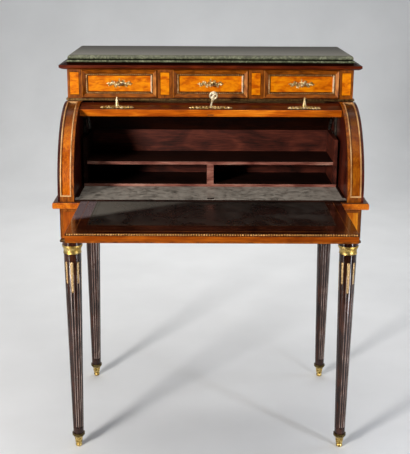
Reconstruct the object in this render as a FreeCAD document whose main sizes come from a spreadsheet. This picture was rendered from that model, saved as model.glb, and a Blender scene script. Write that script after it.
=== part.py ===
import FreeCAD, Part
import math
import os

import Sketcher

# A cylinder desk on turned legs: a roll-back quarter cylinder over a pull-out writing slide, a pigeonhole
# unit inside, and a tier of three drawers under a marble top. Millimetres, +Z up, the front towards -Y.
# The origin is on the floor, in the middle of the space that the open desk takes up.

doc = FreeCAD.newDocument("CylinderDesk")
sheet = doc.addObject("Spreadsheet::Sheet", "Sizes")
Vector = FreeCAD.Vector
pieces = []


class Formula:
    # A size held as text for bindings and as a number for the first geometry.
    def __init__(self, text, value):
        self.text = text
        self.value = value

    def __add__(self, other):
        other = formula(other)
        return Formula(f"({self.text} + {other.text})", self.value + other.value)

    def __sub__(self, other):
        other = formula(other)
        return Formula(f"({self.text} - {other.text})", self.value - other.value)

    def __mul__(self, other):
        other = formula(other)
        return Formula(f"({self.text} * {other.text})", self.value * other.value)

    def __truediv__(self, other):
        other = formula(other)
        return Formula(f"({self.text} / {other.text})", self.value / other.value)

    def __neg__(self):
        return Formula(f"(-{self.text})", -self.value)


def formula(thing):
    if isinstance(thing, Formula):
        return thing
    return Formula(str(float(thing)), float(thing))


def tangent(angle):
    return Formula(f"tan({angle.text} * 1 deg)", math.tan(math.radians(angle.value)))


def size(alias, value, note):
    row = sheet.getUsedCells().__len__() // 2 + 1
    sheet.set(f"A{row}", note)
    sheet.set(f"B{row}", str(value))
    sheet.setAlias(f"B{row}", alias)
    return Formula(f"Sizes.{alias}", value)


# Carcass
apron_width = size("apron_width", 764, "across the apron and leg blocks")
apron_depth = size("apron_depth", 512, "apron front to back")
apron_height = size("apron_height", 91, "apron, bottom to top")
apron_thick = size("apron_thick", 20, "apron board")
bead_radius = size("bead_radius", 4.5, "half-round bead along the apron's foot")
waist_thick = size("waist_thick", 17, "waist moulding")
waist_side = size("waist_side", 18, "waist moulding beyond the apron's sides")
waist_lip = size("waist_lip", 14, "waist moulding beyond the apron's front")
nose_radius = size("nose_radius", 4, "rounded arrises of the waist moulding")
cheek_over = size("cheek_over", 5, "cheeks and drawer tier beyond the apron's sides")
cheek_thick = size("cheek_thick", 41.5, "curved side cheek")
cheek_setback = size("cheek_setback", 1, "cheek foot behind the apron front")
cheek_radius = size("cheek_radius", 205, "curve of the cheek")
axis_rise = size("axis_rise", 18, "cylinder axis above the waist moulding")
back_thick = size("back_thick", 8, "back panels")

# Legs
leg_height = size("leg_height", 590, "floor to apron")
leg_block = size("leg_block", 48, "square head of the leg")
leg_top_radius = size("leg_top_radius", 22.5, "leg under the capital")
leg_foot_radius = size("leg_foot_radius", 14, "leg above the brass foot")
neck_length = size("neck_length", 21, "plain neck above the flutes")
collar_length = size("collar_length", 11, "plain collar above the capital")
collar_radius = size("collar_radius", 25.5, "radius of that collar")
capital_height = size("capital_height", 22, "brass capital")
capital_radius = size("capital_radius", 26.5, "brass capital")
capital_wall = size("capital_wall", 2, "leg relieved under the capital")
flute_radius = size("flute_radius", 5, "flute at the top")
flute_foot_radius = size("flute_foot_radius", 3, "flute at the bottom")
flute_end = size("flute_end", 16, "plain stretch under the flutes")
flute_depth = size("flute_depth", 2.4, "depth of the flutes")
foot_height = size("foot_height", 41, "brass foot")
foot_radius = size("foot_radius", 17, "collar of the brass foot")
foot_collar = size("foot_collar", 6, "height of that collar")
foot_ball = size("foot_ball", 5.8, "ball of the brass foot")
foot_pad = size("foot_pad", 6, "flat under the ball")
foot_neck = size("foot_neck", 7, "neck above the ball")
foot_vase = size("foot_vase", 9, "vase of the foot at its bottom")
foot_shoulder = size("foot_shoulder", 11.5, "vase of the foot at its top")
foot_flare = size("foot_flare", 7, "height of the flare up to the collar")
spigot_radius = size("spigot_radius", 5, "leg spigot in the foot")
spigot_length = size("spigot_length", 14, "leg spigot in the foot")
fit_clear = size("fit_clear", 0.05, "radial clearance of a fit")

# Writing slide and bed
slide_reach = size("slide_reach", 280, "slide pulled out in front of the waist")
slide_inset = size("slide_inset", 4, "slide inside the leg heads")
slide_stop = size("slide_stop", 48, "slide, pushed in, to the back panel")
slide_thick = size("slide_thick", 16.2, "writing slide")
slide_clear = size("slide_clear", 0.4, "running clearance above and below the slide")
slide_gap = size("slide_gap", 1, "running clearance beside the slide")
slide_border = size("slide_border", 41, "wooden border beside the leather")
slide_front_border = size("slide_front_border", 70, "wooden border in front of the leather")
slide_back_border = size("slide_back_border", 60, "wooden border behind the leather")
leather_thick = size("leather_thick", 1, "leather sheets")
ledge_width = size("ledge_width", 15, "runner under the slide")
ledge_thick = size("ledge_thick", 16, "runner under the slide")
bed_thick = size("bed_thick", 5, "fixed writing bed")
bed_depth = size("bed_depth", 150, "apron front to the pigeonhole unit")
bed_margin = size("bed_margin", 8, "bed beside its leather")
bed_tail = size("bed_tail", 7, "bed behind the unit")
seat_clear = size("seat_clear", 0.5, "clearance of boards between the cheeks")

# Pigeonhole unit
unit_depth = size("unit_depth", 159, "unit, front to back")
unit_height = size("unit_height", 128, "unit above the bed")
unit_floor = size("unit_floor", 7, "floor of the unit")
unit_wall = size("unit_wall", 10, "ends of the unit")
unit_back_thick = size("unit_back_thick", 8, "back of the unit")
shelf_rise = size("shelf_rise", 68, "shelf top above the bed")
shelf_thick = size("shelf_thick", 8, "shelf")
divider_thick = size("divider_thick", 18, "upright under the shelf")

# Cylinder
shell_inset = size("shell_inset", 3, "cylinder under the cheek's curve")
shell_thick = size("shell_thick", 12, "curved shell")
shell_angle = size("shell_angle", 97, "arc of the shell, degrees")
shell_gap = size("shell_gap", 1, "running clearance at the cheeks")
rail_thick = size("rail_thick", 18, "front rail")
rail_angle = size("rail_angle", 11, "arc of the front rail, degrees")
open_angle = size("open_angle", 17, "front edge forward of upright, degrees")
arm_thick = size("arm_thick", 5, "iron arms")
arm_gap = size("arm_gap", 2, "clearance of the arms at the cheeks")
arm_width = size("arm_width", 14, "rim and spokes of the arms")
arm_hub = size("arm_hub", 12, "hub of the arms")
arm_angle = size("arm_angle", 92, "arc of the arm's rim, degrees")
pin_radius = size("pin_radius", 5, "pivot pins")
pin_seat = size("pin_seat", 20, "pivot pin in the cheek")
knob_inset = size("knob_inset", 98.5, "knobs inside the cheeks")
knob_length = size("knob_length", 30, "knob")
knob_radius = size("knob_radius", 6, "knob foot")
knob_tip = size("knob_tip", 3, "knob head")
mount_thick = size("mount_thick", 2, "gilt mounts on the rail")
mount_angle = size("mount_angle", 5.6, "arc of the mounts, degrees")
mount_width = size("mount_width", 88, "mounts at the knobs")
lock_mount_width = size("lock_mount_width", 113, "mount at the lock")

# Lock and key, in the middle of the rail
lock_width = size("lock_width", 56, "lock case")
lock_reach = size("lock_reach", 24, "lock case along the arc")
lock_depth = size("lock_depth", 12, "lock case into the rail")
lock_clear = size("lock_clear", 0.2, "clearance round the lock and its bolt")
bolt_width = size("bolt_width", 16, "lock bolt")
bolt_thick = size("bolt_thick", 4, "lock bolt")
bolt_tail = size("bolt_tail", 6, "bolt behind the keyhole")
bolt_throw = size("bolt_throw", 7, "how far the bolt shoots")
bolt_floor = size("bolt_floor", 1.5, "case behind the bolt")
keyhole_radius = size("keyhole_radius", 5, "keyhole")
ward_radius = size("ward_radius", 9, "round chamber of the lock")
key_shank = size("key_shank", 2.4, "key shank radius")
key_reach = size("key_reach", 11, "key inside the keyhole")
key_stand = size("key_stand", 29, "key from the rail to its bow")
key_bow = size("key_bow", 6.2, "eyes of the key's bow")
key_wire = size("key_wire", 2.2, "section of the bow")
key_bit = size("key_bit", 5, "key bit")
key_bit_thick = size("key_bit_thick", 1.8, "key bit")
key_lean = size("key_lean", 12, "key leaning in its slack keyhole, degrees")

# Drawer tier, cornice and marble
tier_setback = size("tier_setback", 244, "drawer tier behind the apron front")
tier_floor = size("tier_floor", 6, "floor under the drawers")
tier_space = size("tier_space", 78.5, "clear height for the drawers")
tier_end = size("tier_end", 37.5, "ends of the tier")
tier_divider = size("tier_divider", 41, "uprights between the drawers")
fillet_height = size("fillet_height", 5, "brass fillet under the drawers")
fillet_reach = size("fillet_reach", 4, "how far that fillet stands out")
drawer_clear = size("drawer_clear", 0.6, "running clearance of the drawers")
drawer_headroom = size("drawer_headroom", 1.5, "clearance over the drawers")
drawer_front = size("drawer_front", 18, "drawer front")
drawer_side = size("drawer_side", 9, "drawer sides and back")
drawer_bottom = size("drawer_bottom", 5, "drawer bottom")
drawer_groove = size("drawer_groove", 4, "drawer bottom above the sides' lower edge")
drawer_wall = size("drawer_wall", 58, "height of the drawer sides")
frame_width = size("frame_width", 15, "raised frame on a drawer front")
frame_depth = size("frame_depth", 4, "panel behind the frame")
pull_width = size("pull_width", 72, "drawer pull")
pull_sweep = size("pull_sweep", 70, "radius of the pull's plate edges")
pull_plate = size("pull_plate", 3, "plate of the pull")
pull_reach = size("pull_reach", 24, "pull, out of the panel")
pull_head = size("pull_head", 7, "head of the pull")
pull_neck = size("pull_neck", 4, "neck of the pull")
cornice_height = size("cornice_height", 18, "cornice")
cornice_reach = size("cornice_reach", 19.5, "cornice beyond the tier")
cornice_foot = size("cornice_foot", 10, "cornice at its bottom edge")
cornice_rise = size("cornice_rise", 5, "lip of the cornice above its bottom edge")
cornice_lip = size("cornice_lip", 6.5, "upright lip of the cornice")
cornice_sweep = size("cornice_sweep", 24, "radius of the cornice's curves")
cornice_ledge = size("cornice_ledge", 3, "flat of the cornice beside the marble")
marble_thick = size("marble_thick", 20.5, "marble top")
marble_inset = size("marble_inset", 1, "marble inside the tier's ends")
marble_reach = size("marble_reach", 14, "marble in front of the tier")
marble_round = size("marble_round", 6, "rounded edge of the marble")

# Levels and planes worked out from those sizes
apron_top = leg_height + apron_height
waist_top = apron_top + waist_thick
bed_top = waist_top + bed_thick
axis_z = waist_top + axis_rise
cheek_top = axis_z + cheek_radius
floor_top = cheek_top + tier_floor
tier_top = floor_top + tier_space
cornice_top = tier_top + cornice_height
capital_over = capital_radius - leg_block / 2
back = (apron_depth + waist_lip + slide_reach - capital_over) / 2
front = back - apron_depth
waist_front = front - waist_lip
slide_front = waist_front - slide_reach
back_inside = back - back_thick
cheek_front = front + cheek_setback
axis_y = cheek_front + cheek_radius
tier_front = front + tier_setback
unit_front = front + bed_depth
unit_back = unit_front + unit_depth
apron_half = apron_width / 2
block_inside = apron_half - leg_block
carcass_half = apron_half + cheek_over
cheek_inside = carcass_half - cheek_thick
slide_half = block_inside - slide_inset
knob_x = cheek_inside - knob_inset
slot_half = slide_half + slide_gap
shell_outer = cheek_radius - shell_inset
shell_inner = shell_outer - shell_thick
rail_inner = shell_outer - rail_thick
rail_middle = open_angle - rail_angle / 2
sides = (("left", -1), ("right", 1))
onto_x = FreeCAD.Rotation(Vector(1, 1, 1), 120)


def bind(thing, **bindings):
    for name, value in bindings.items():
        thing.setExpression(name.replace("_", "."), formula(value).text)
    return thing


def place(thing, x=0, y=0, z=0):
    for axis, value in (("x", x), ("y", y), ("z", z)):
        thing.setExpression(f"Placement.Base.{axis}", formula(value).text)
    return thing


def swing(thing, angle, x=0):
    # Stands a piece made above the origin on the cylinder's axis, turned towards the front.
    thing.Placement = FreeCAD.Placement(Vector(), FreeCAD.Rotation(Vector(1, 0, 0), 1))
    thing.setExpression("Placement.Rotation.Angle", formula(angle).text)
    return place(thing, x, axis_y, axis_z)


def box(name, x, y, z):
    thing = doc.addObject("Part::Box", name)
    ends = [(formula(low), formula(high)) for low, high in (x, y, z)]
    bind(thing, Length=ends[0][1] - ends[0][0], Width=ends[1][1] - ends[1][0], Height=ends[2][1] - ends[2][0])
    return place(thing, *(low for low, high in ends))


def span(sign, inner, outer):
    return (inner, outer) if sign > 0 else (-formula(outer), -formula(inner))


def rod(name, radius, length, x=0, y=0, z=0, turn=None):
    thing = doc.addObject("Part::Cylinder", name)
    if turn:
        thing.Placement = FreeCAD.Placement(Vector(), turn)
    bind(thing, Radius=radius, Height=length)
    return place(thing, x, y, z)


def join(name, things):
    thing = doc.addObject("Part::MultiFuse", name)
    thing.Shapes = things
    return thing


def group(name, things):
    thing = doc.addObject("Part::Compound", name)
    thing.Links = things
    return thing


def cut(name, base, tools):
    thing = doc.addObject("Part::Cut", name)
    thing.Base = base
    thing.Tool = tools[0] if len(tools) == 1 else join(name + "_tools", tools)
    return thing


def arc_ring(name, outer, inner, start, sweep, x):
    # A slice of a tube about the X axis, from the start angle above +Y onwards.
    solid = rod(name + "_round", outer, formula(x[1]) - x[0], x[0], turn=onto_x)
    bind(solid, Angle=sweep)
    bore = rod(name + "_bore", inner, formula(x[1]) - x[0], x[0], turn=onto_x)
    ring = cut(name, solid, [bore])
    ring.Placement = FreeCAD.Placement(Vector(), FreeCAD.Rotation(Vector(1, 0, 0), 1))
    ring.setExpression("Placement.Rotation.Angle", formula(start).text)
    return ring


def outline(body, name, role, points, closed=True, lift=0):
    # Points are (across, up), or (across, up, "left" or "right", radius) where an arc bends that way next.
    sketch = body.newObject("Sketcher::SketchObject", name)
    plane = [feature for feature in body.Origin.OriginFeatures if feature.Role == role][0]
    sketch.AttachmentSupport = [(plane, "")]
    sketch.MapMode = "FlatFace"
    sketch.setExpression("AttachmentOffset.Base.z", formula(lift).text)
    corners = [(formula(point[0]), formula(point[1])) for point in points]
    vectors = [Vector(across.value, up.value, 0) for across, up in corners]
    count = len(points) if closed else len(points) - 1
    ends = []
    for index in range(count):
        start = vectors[index]
        stop = vectors[(index + 1) % len(points)]
        if len(points[index]) == 2:
            sketch.addGeometry(Part.LineSegment(start, stop))
            ends.append((1, 2))
            continue
        bend, radius = points[index][2], formula(points[index][3])
        first, last = (start, stop) if bend == "left" else (stop, start)
        chord = last - first
        rise = math.sqrt(radius.value ** 2 - chord.Length ** 2 / 4)
        centre = (first + last) * 0.5 + Vector(-chord.y, chord.x, 0).normalize() * rise
        angles = [math.atan2(end.y - centre.y, end.x - centre.x) for end in (first, last)]
        circle = Part.Circle(centre, Vector(0, 0, 1), radius.value)
        sketch.addGeometry(Part.ArcOfCircle(circle, angles[0], angles[1]))
        ends.append((1, 2) if bend == "left" else (2, 1))
        hold(sketch, Sketcher.Constraint("Radius", index, radius.value), radius)
    for index in range(count if closed else count - 1):
        after = (index + 1) % count
        sketch.addConstraint(Sketcher.Constraint("Coincident", index, ends[index][1], after, ends[after][0]))
    for index in range(len(points)):
        edge, end = (index, ends[index][0]) if index < count else (count - 1, ends[-1][1])
        across, up = corners[index]
        hold(sketch, Sketcher.Constraint("DistanceX", -1, 1, edge, end, across.value), across)
        hold(sketch, Sketcher.Constraint("DistanceY", -1, 1, edge, end, up.value), up)
    return sketch


def hold(sketch, constraint, value):
    index = sketch.addConstraint(constraint)
    sketch.setExpression(f"Constraints[{index}]", value.text)


def turned(name, points, role="XZ_Plane"):
    body = doc.addObject("PartDesign::Body", name)
    return turn_on(body, name, points, role)


def turn_on(body, name, points, role):
    lathe = body.newObject("PartDesign::Revolution", name + "_turning")
    lathe.Profile = outline(body, name + "_profile", role, points)
    lathe.ReferenceAxis = (lathe.Profile[0], ["V_Axis"])
    lathe.Angle = 360
    return body


def padded(body, name, role, points, length, lift=0):
    pad = body.newObject("PartDesign::Pad", name + "_pad")
    pad.Profile = outline(body, name + "_outline", role, points, lift=lift)
    return bind(pad, Length=length)


def swept(name, path, profile):
    # The path starts at the back plane and runs to the front first; the profile stands across its start.
    body = doc.addObject("PartDesign::Body", name)
    sweep = body.newObject("PartDesign::AdditivePipe", name + "_sweep")
    sweep.Profile = outline(body, name + "_profile", "XZ_Plane", profile, lift=-path[0][1])
    route = outline(body, name + "_path", "XY_Plane", path, closed=False)
    sweep.Spine = (route, [f"Edge{index + 1}" for index in range(len(path) - 1)])
    sweep.Transition = "Right corner"
    return body


def piece(thing):
    pieces.append(thing)
    return thing


def make_legs():
    taper_top = leg_height - collar_length - capital_height - neck_length
    capital_bottom = leg_height - collar_length - capital_height
    capital_top = leg_height - collar_length
    relief = leg_top_radius - capital_wall
    flute_bottom = foot_height + flute_end
    spread = (leg_top_radius - leg_foot_radius) / (taper_top - foot_height)
    flute_foot_x = leg_foot_radius + spread * flute_end + flute_foot_radius - flute_depth
    flute_top_x = leg_top_radius + flute_radius - flute_depth
    flute_length = taper_top - flute_bottom
    profile = [
        (0, foot_height - spigot_length), (spigot_radius, foot_height - spigot_length),
        (spigot_radius, foot_height), (leg_foot_radius, foot_height), (leg_top_radius, taper_top),
        (leg_top_radius, capital_bottom), (relief, capital_bottom), (relief, capital_top),
        (collar_radius, capital_top), (collar_radius, leg_height), (0, leg_height),
    ]
    half = leg_block / 2
    square = [(-half, -half), (half, -half), (half, half), (-half, half)]
    capitals = []
    feet = []
    for end, leg_y in (("front", front + half), ("back", back - half)):
        for side, sign in sides:
            leg_x = (apron_half - half) * sign
            name = f"leg_{end}_{side}"
            leg = turned(name, profile)
            padded(leg, name + "_head", "XY_Plane", square, apron_height, lift=leg_height)
            doc.recompute()
            flute = leg.newObject("PartDesign::SubtractiveCone", name + "_flute")
            lean = math.degrees(math.atan2((flute_top_x - flute_foot_x).value, flute_length.value))
            flute.Placement = FreeCAD.Placement(Vector(), FreeCAD.Rotation(Vector(0, 1, 0), lean))
            bind(flute, Radius1=flute_foot_radius, Radius2=flute_radius, Height=flute_length)
            place(flute, flute_foot_x, 0, flute_bottom)
            flutes = leg.newObject("PartDesign::PolarPattern", name + "_flutes")
            flutes.Originals = [flute]
            upright = [feature for feature in leg.Origin.OriginFeatures if feature.Role == "Z_Axis"][0]
            flutes.Axis = (upright, [""])
            flutes.Angle = 360
            flutes.Occurrences = 8
            leg.Tip = flutes
            piece(place(leg, leg_x, leg_y))
            capitals.append(make_capital(f"capital_{end}_{side}", relief, leg_x, leg_y, capital_bottom))
            feet.append(make_foot(f"foot_{end}_{side}", leg_x, leg_y))
    piece(group("leg_capitals", capitals))
    piece(group("leg_feet", feet))


def make_capital(name, relief, x, y, z):
    bore = relief + fit_clear
    ring = capital_height / 4
    profile = [
        (bore, 0), (leg_top_radius + ring / 4, 0, "right", ring * 3.2), (capital_radius - ring / 8, ring * 3),
        (capital_radius - ring / 4, ring * 3), (capital_radius - ring / 4, ring * 3.3),
        (capital_radius, ring * 3.3), (capital_radius, capital_height), (bore, capital_height),
    ]
    return place(turned(name, profile), x, y, z)


def make_foot(name, x, y):
    socket = spigot_radius + fit_clear
    neck_z = foot_ball * 1.6
    vase_z = neck_z + foot_vase - foot_neck
    collar_z = foot_height - foot_collar
    profile = [
        (0, 0), (foot_pad, 0, "left", foot_ball), (foot_neck, neck_z), (foot_vase, vase_z),
        (foot_shoulder, collar_z - foot_flare), (foot_radius, collar_z), (foot_radius, foot_height),
        (socket, foot_height), (socket, foot_height - spigot_length),
        (0, foot_height - spigot_length),
    ]
    return place(turned(name, profile), x, y)


def make_apron():
    between = (-block_inside, block_inside)
    upright = (leg_height, apron_top)
    piece(box("apron_front", between, (front, front + apron_thick), upright))
    piece(box("apron_back", between, (back - apron_thick, back), upright))
    for side, sign in sides:
        along = (front + leg_block, back - leg_block)
        piece(box(f"apron_{side}", span(sign, apron_half - apron_thick, apron_half), along, upright))
    top = leg_height + bead_radius * 2
    bead = [(-apron_half, leg_height), (-apron_half, top, "left", bead_radius * 1.02)]
    path = [(-apron_half, back), (-apron_half, front), (apron_half, front), (apron_half, back)]
    piece(swept("apron_bead", path, bead))


def make_waist():
    outer = apron_half + waist_side
    for side, sign in sides:
        edge = outer * sign
        shoulder = (outer - nose_radius) * sign
        inner = cheek_inside * sign
        bend = "right" if sign < 0 else "left"
        profile = [
            (inner, apron_top), (shoulder, apron_top, bend, nose_radius), (edge, apron_top + nose_radius),
            (edge, waist_top - nose_radius, bend, nose_radius), (shoulder, waist_top), (inner, waist_top),
        ]
        path = [(edge, back), (edge, waist_front), (slot_half * sign, waist_front)]
        piece(swept(f"waist_moulding_{side}", path, profile))


def make_cheeks():
    profile = [
        (back, waist_top), (cheek_front, waist_top), (cheek_front, axis_z, "right", cheek_radius),
        (axis_y, cheek_top), (back, cheek_top),
    ]
    pins = []
    for side, sign in sides:
        name = f"cheek_{side}"
        start, stop = span(sign, cheek_inside, carcass_half)
        board = doc.addObject("PartDesign::Body", name + "_board")
        padded(board, name, "YZ_Plane", profile, cheek_thick, lift=start)
        seat = span(sign, cheek_inside, cheek_inside + pin_seat)
        hole = rod(name + "_seat", pin_radius + fit_clear, pin_seat, seat[0], axis_y, axis_z, onto_x)
        piece(cut(name, board, [hole]))
        reach = span(sign, cheek_inside - arm_gap - arm_thick, cheek_inside + pin_seat)
        length = arm_gap + arm_thick + pin_seat
        pins.append(rod(f"pivot_pin_{side}", pin_radius, length, reach[0], axis_y, axis_z, onto_x))
    piece(group("pivot_pins", pins))
    across = (-cheek_inside, cheek_inside)
    piece(box("back_panel", across, (back_inside, back), (apron_top, cheek_top)))


def make_bed():
    bed_half = cheek_inside - seat_clear
    bed_front = cheek_front + seat_clear
    blank = box("bed_blank", (-bed_half, bed_half), (bed_front, unit_back + bed_tail), (waist_top, bed_top))
    leather_x = (-(bed_half - bed_margin), bed_half - bed_margin)
    leather_z = (bed_top - leather_thick, bed_top)
    strike_y = axis_y - rail_inner - bolt_floor
    leather_y = (strike_y + bolt_thick, unit_front - seat_clear)
    recess = box("bed_recess", leather_x, leather_y, leather_z)
    strike_half = bolt_width / 2 + seat_clear * 2
    strike = box("bed_strike", (-strike_half, strike_half),
                 (strike_y - bolt_thick - bolt_throw, strike_y + bolt_thick / 2), (waist_top, bed_top))
    piece(cut("writing_bed", blank, [recess, strike]))
    piece(box("bed_leather", leather_x, leather_y, leather_z))
    band = apron_half + waist_side - cheek_inside
    for side, sign in sides:
        ledge = box(f"runner_ledge_{side}", span(sign, slot_half - ledge_width, block_inside),
                    (front + apron_thick, back - apron_thick), (apron_top - ledge_thick, apron_top))
        guide = box(f"runner_guide_{side}", span(sign, slot_half, cheek_inside),
                    (waist_front + band, back_inside), (apron_top, waist_top))
        piece(join(f"slide_runner_{side}", [ledge, guide]))


def make_slide():
    low = apron_top + slide_clear
    top = low + slide_thick
    slide_back = back_inside - slide_stop - slide_reach
    blank = box("slide_blank", (-slide_half, slide_half), (slide_front, slide_back), (low, top))
    leather = (
        (-(slide_half - slide_border), slide_half - slide_border),
        (slide_front + slide_front_border, slide_back - slide_back_border),
        (top - leather_thick, top),
    )
    piece(cut("slide_board", blank, [box("slide_recess", *leather)]))
    piece(box("slide_leather", *leather))


def make_unit():
    half = cheek_inside - arm_gap - arm_thick - seat_clear
    inner = half - unit_wall
    inside = (unit_front, unit_back - unit_back_thick)
    floor_z = bed_top + unit_floor
    top = bed_top + unit_height
    shelf_z = (bed_top + shelf_rise - shelf_thick, bed_top + shelf_rise)
    piece(box("unit_floor_board", (-half, half), inside, (bed_top, floor_z)))
    piece(box("unit_back", (-half, half), (unit_back - unit_back_thick, unit_back), (bed_top, top)))
    piece(box("unit_shelf", (-inner, inner), inside, shelf_z))
    piece(box("unit_divider", (-(divider_thick / 2), divider_thick / 2), inside, (floor_z, shelf_z[0])))
    for side, sign in sides:
        piece(box(f"unit_end_{side}", span(sign, inner, half), inside, (floor_z, top)))


def make_cylinder():
    half = cheek_inside - shell_gap
    across = (-half, half)
    quarter = 90
    tail = open_angle + quarter - rail_angle - shell_angle
    shell = arc_ring("cylinder_shell", shell_outer, shell_inner, tail, shell_angle, across)
    piece(place(shell, 0, axis_y, axis_z))
    upright = formula(quarter) - rail_angle / 2
    rail = arc_ring("rail_blank", shell_outer, rail_inner, upright, rail_angle, across)
    piece(swing(cut("cylinder_rail", rail, make_lock_room()), rail_middle))
    for side, sign in sides:
        make_arm(side, sign, tail)
    make_knobs()
    make_mounts(formula(quarter) - mount_angle / 2)


def make_lock_room():
    # The mortise of the lock, the slot of its bolt, the keyhole and the knobs' sockets, cut from the rail.
    lock_half = lock_width / 2 + lock_clear
    reach = lock_reach / 2 + lock_clear
    mortise = box("lock_mortise", (-lock_half, lock_half), (-reach, reach),
                  (rail_inner - rail_thick, rail_inner + lock_depth))
    slot_half_width = bolt_width / 2 + lock_clear
    low = rail_inner + bolt_floor
    slot = box("bolt_slot", (-slot_half_width, slot_half_width), (-lock_reach * 2, 0),
               (low - lock_clear, low + bolt_thick + lock_clear))
    keyhole = rod("keyhole", keyhole_radius, rail_thick * 2, z=rail_inner + lock_depth / 2)
    sockets = []
    for side, sign in sides:
        socket = rod(f"knob_socket_{side}", knob_radius * 0.5 + fit_clear, rail_thick,
                     knob_x * sign, z=shell_outer - shell_inset)
        sockets.append(socket)
    return [mortise, slot, keyhole] + sockets


def make_arm(side, sign, tail):
    x = span(sign, cheek_inside - arm_gap - arm_thick, cheek_inside - arm_gap)
    name = f"arm_{side}"
    rim = arc_ring(name + "_rim", shell_inner, shell_inner - arm_width, tail, arm_angle, x)
    hub = rod(name + "_hub", arm_hub, arm_thick, x[0], turn=onto_x)
    reach = shell_inner - arm_width / 2
    spokes = []
    for label, angle in (("front", tail + arm_angle), ("rear", tail)):
        spoke_middle = angle - arm_angle / 8 if label == "front" else angle + arm_angle / 8
        spoke = box(f"{name}_{label}_spoke", x, (-(arm_width / 2), arm_width / 2), (0, reach))
        boss = rod(f"{name}_{label}_boss", arm_hub / 2, arm_thick, x[0], turn=onto_x)
        holder = join(f"{name}_{label}_holder", [spoke, boss])
        holder.Placement = FreeCAD.Placement(Vector(), FreeCAD.Rotation(Vector(1, 0, 0), 1))
        holder.setExpression("Placement.Rotation.Angle", (spoke_middle - 90).text)
        spokes.append(holder)
    plate = join(name + "_plate", [rim, hub] + spokes)
    bore = rod(name + "_bore_hole", pin_radius + fit_clear, arm_thick, x[0], turn=onto_x)
    piece(place(cut(name, plate, [bore]), 0, axis_y, axis_z))


def make_knobs():
    foot = shell_outer
    waist = knob_radius * 0.55
    profile = [
        (0, foot - shell_inset), (knob_radius * 0.5, foot - shell_inset), (knob_radius * 0.5, foot),
        (knob_radius, foot), (knob_radius, foot + knob_length / 6),
        (waist, foot + knob_length / 3), (knob_tip * 0.7, foot + knob_length * 0.75),
        (knob_tip, foot + knob_length * 0.8), (knob_tip, foot + knob_length * 0.94),
        (knob_tip / 2, foot + knob_length), (0, foot + knob_length),
    ]
    for side, sign in sides:
        piece(swing(turned(f"knob_{side}", profile), rail_middle, knob_x * sign))


def make_mounts(start):
    mounts = []
    places = (
        ("left", -knob_x, mount_width, knob_radius),
        ("lock", formula(0), lock_mount_width, keyhole_radius),
        ("right", knob_x, mount_width, knob_radius),
    )
    for label, middle, width, hole in places:
        name = f"mount_{label}"
        plate = arc_ring(name + "_plate", shell_outer + mount_thick, shell_outer, start, mount_angle,
                         (middle - width / 2, middle + width / 2))
        eye = rod(name + "_eye", hole + fit_clear, shell_outer * 2, middle)
        mounts.append(swing(cut(name, plate, [eye]), rail_middle))
    piece(group("cylinder_mounts", mounts))


def make_lock():
    lock_half = lock_width / 2
    reach = lock_reach / 2
    low = rail_inner + bolt_floor
    case = box("lock_blank", (-lock_half, lock_half), (-reach, reach), (rail_inner, rail_inner + lock_depth))
    room_half = bolt_width / 2 + lock_clear
    room = box("lock_channel", (-room_half, room_half), (-lock_reach, bolt_tail + lock_clear),
               (low - lock_clear, low + bolt_thick + lock_clear))
    chamber = rod("lock_chamber", ward_radius, lock_depth, z=low + bolt_thick)
    piece(swing(cut("lock_case", case, [room, chamber]), rail_middle))
    bolt_front = -(rail_inner * tangent(rail_angle / 2)) + lock_clear
    bolt_half = bolt_width / 2
    bolt = box("lock_bolt_bar", (-bolt_half, bolt_half), (bolt_front, bolt_tail), (low, low + bolt_thick))
    piece(swing(group("lock_bolt", [bolt]), rail_middle))


def make_key():
    # The shank stands on the keyhole, with its bit inside and the two eyes of its bow above.
    shank = rod("key_shank_rod", key_shank, key_reach + key_stand, z=-key_reach)
    bit = box("key_bit_plate", (0, key_bit), (-(key_bit_thick / 2), key_bit_thick / 2),
              (-key_reach, key_bit * 0.8 - key_reach))
    eyes = []
    for side, sign in sides:
        eye = doc.addObject("Part::Torus", f"key_eye_{side}")
        eye.Placement = FreeCAD.Placement(Vector(), FreeCAD.Rotation(Vector(1, 0, 0), 90))
        bind(eye, Radius1=key_bow, Radius2=key_wire)
        eyes.append(place(eye, (key_bow - key_wire / 2) * sign, 0, key_stand + key_bow))
    key = group("key", [join("key_blank", [shank, bit] + eyes)])
    turn = FreeCAD.Rotation(Vector(1, 0, 0), rail_middle.value)
    lean = FreeCAD.Rotation(Vector(0, 1, 0), key_lean.value)
    key.Placement = FreeCAD.Placement(Vector(), turn.multiply(lean))
    across = Formula(f"sin({rail_middle.text} * 1 deg)", math.sin(math.radians(rail_middle.value)))
    along = Formula(f"cos({rail_middle.text} * 1 deg)", math.cos(math.radians(rail_middle.value)))
    piece(place(key, 0, axis_y - shell_outer * across, axis_z + shell_outer * along))


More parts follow.
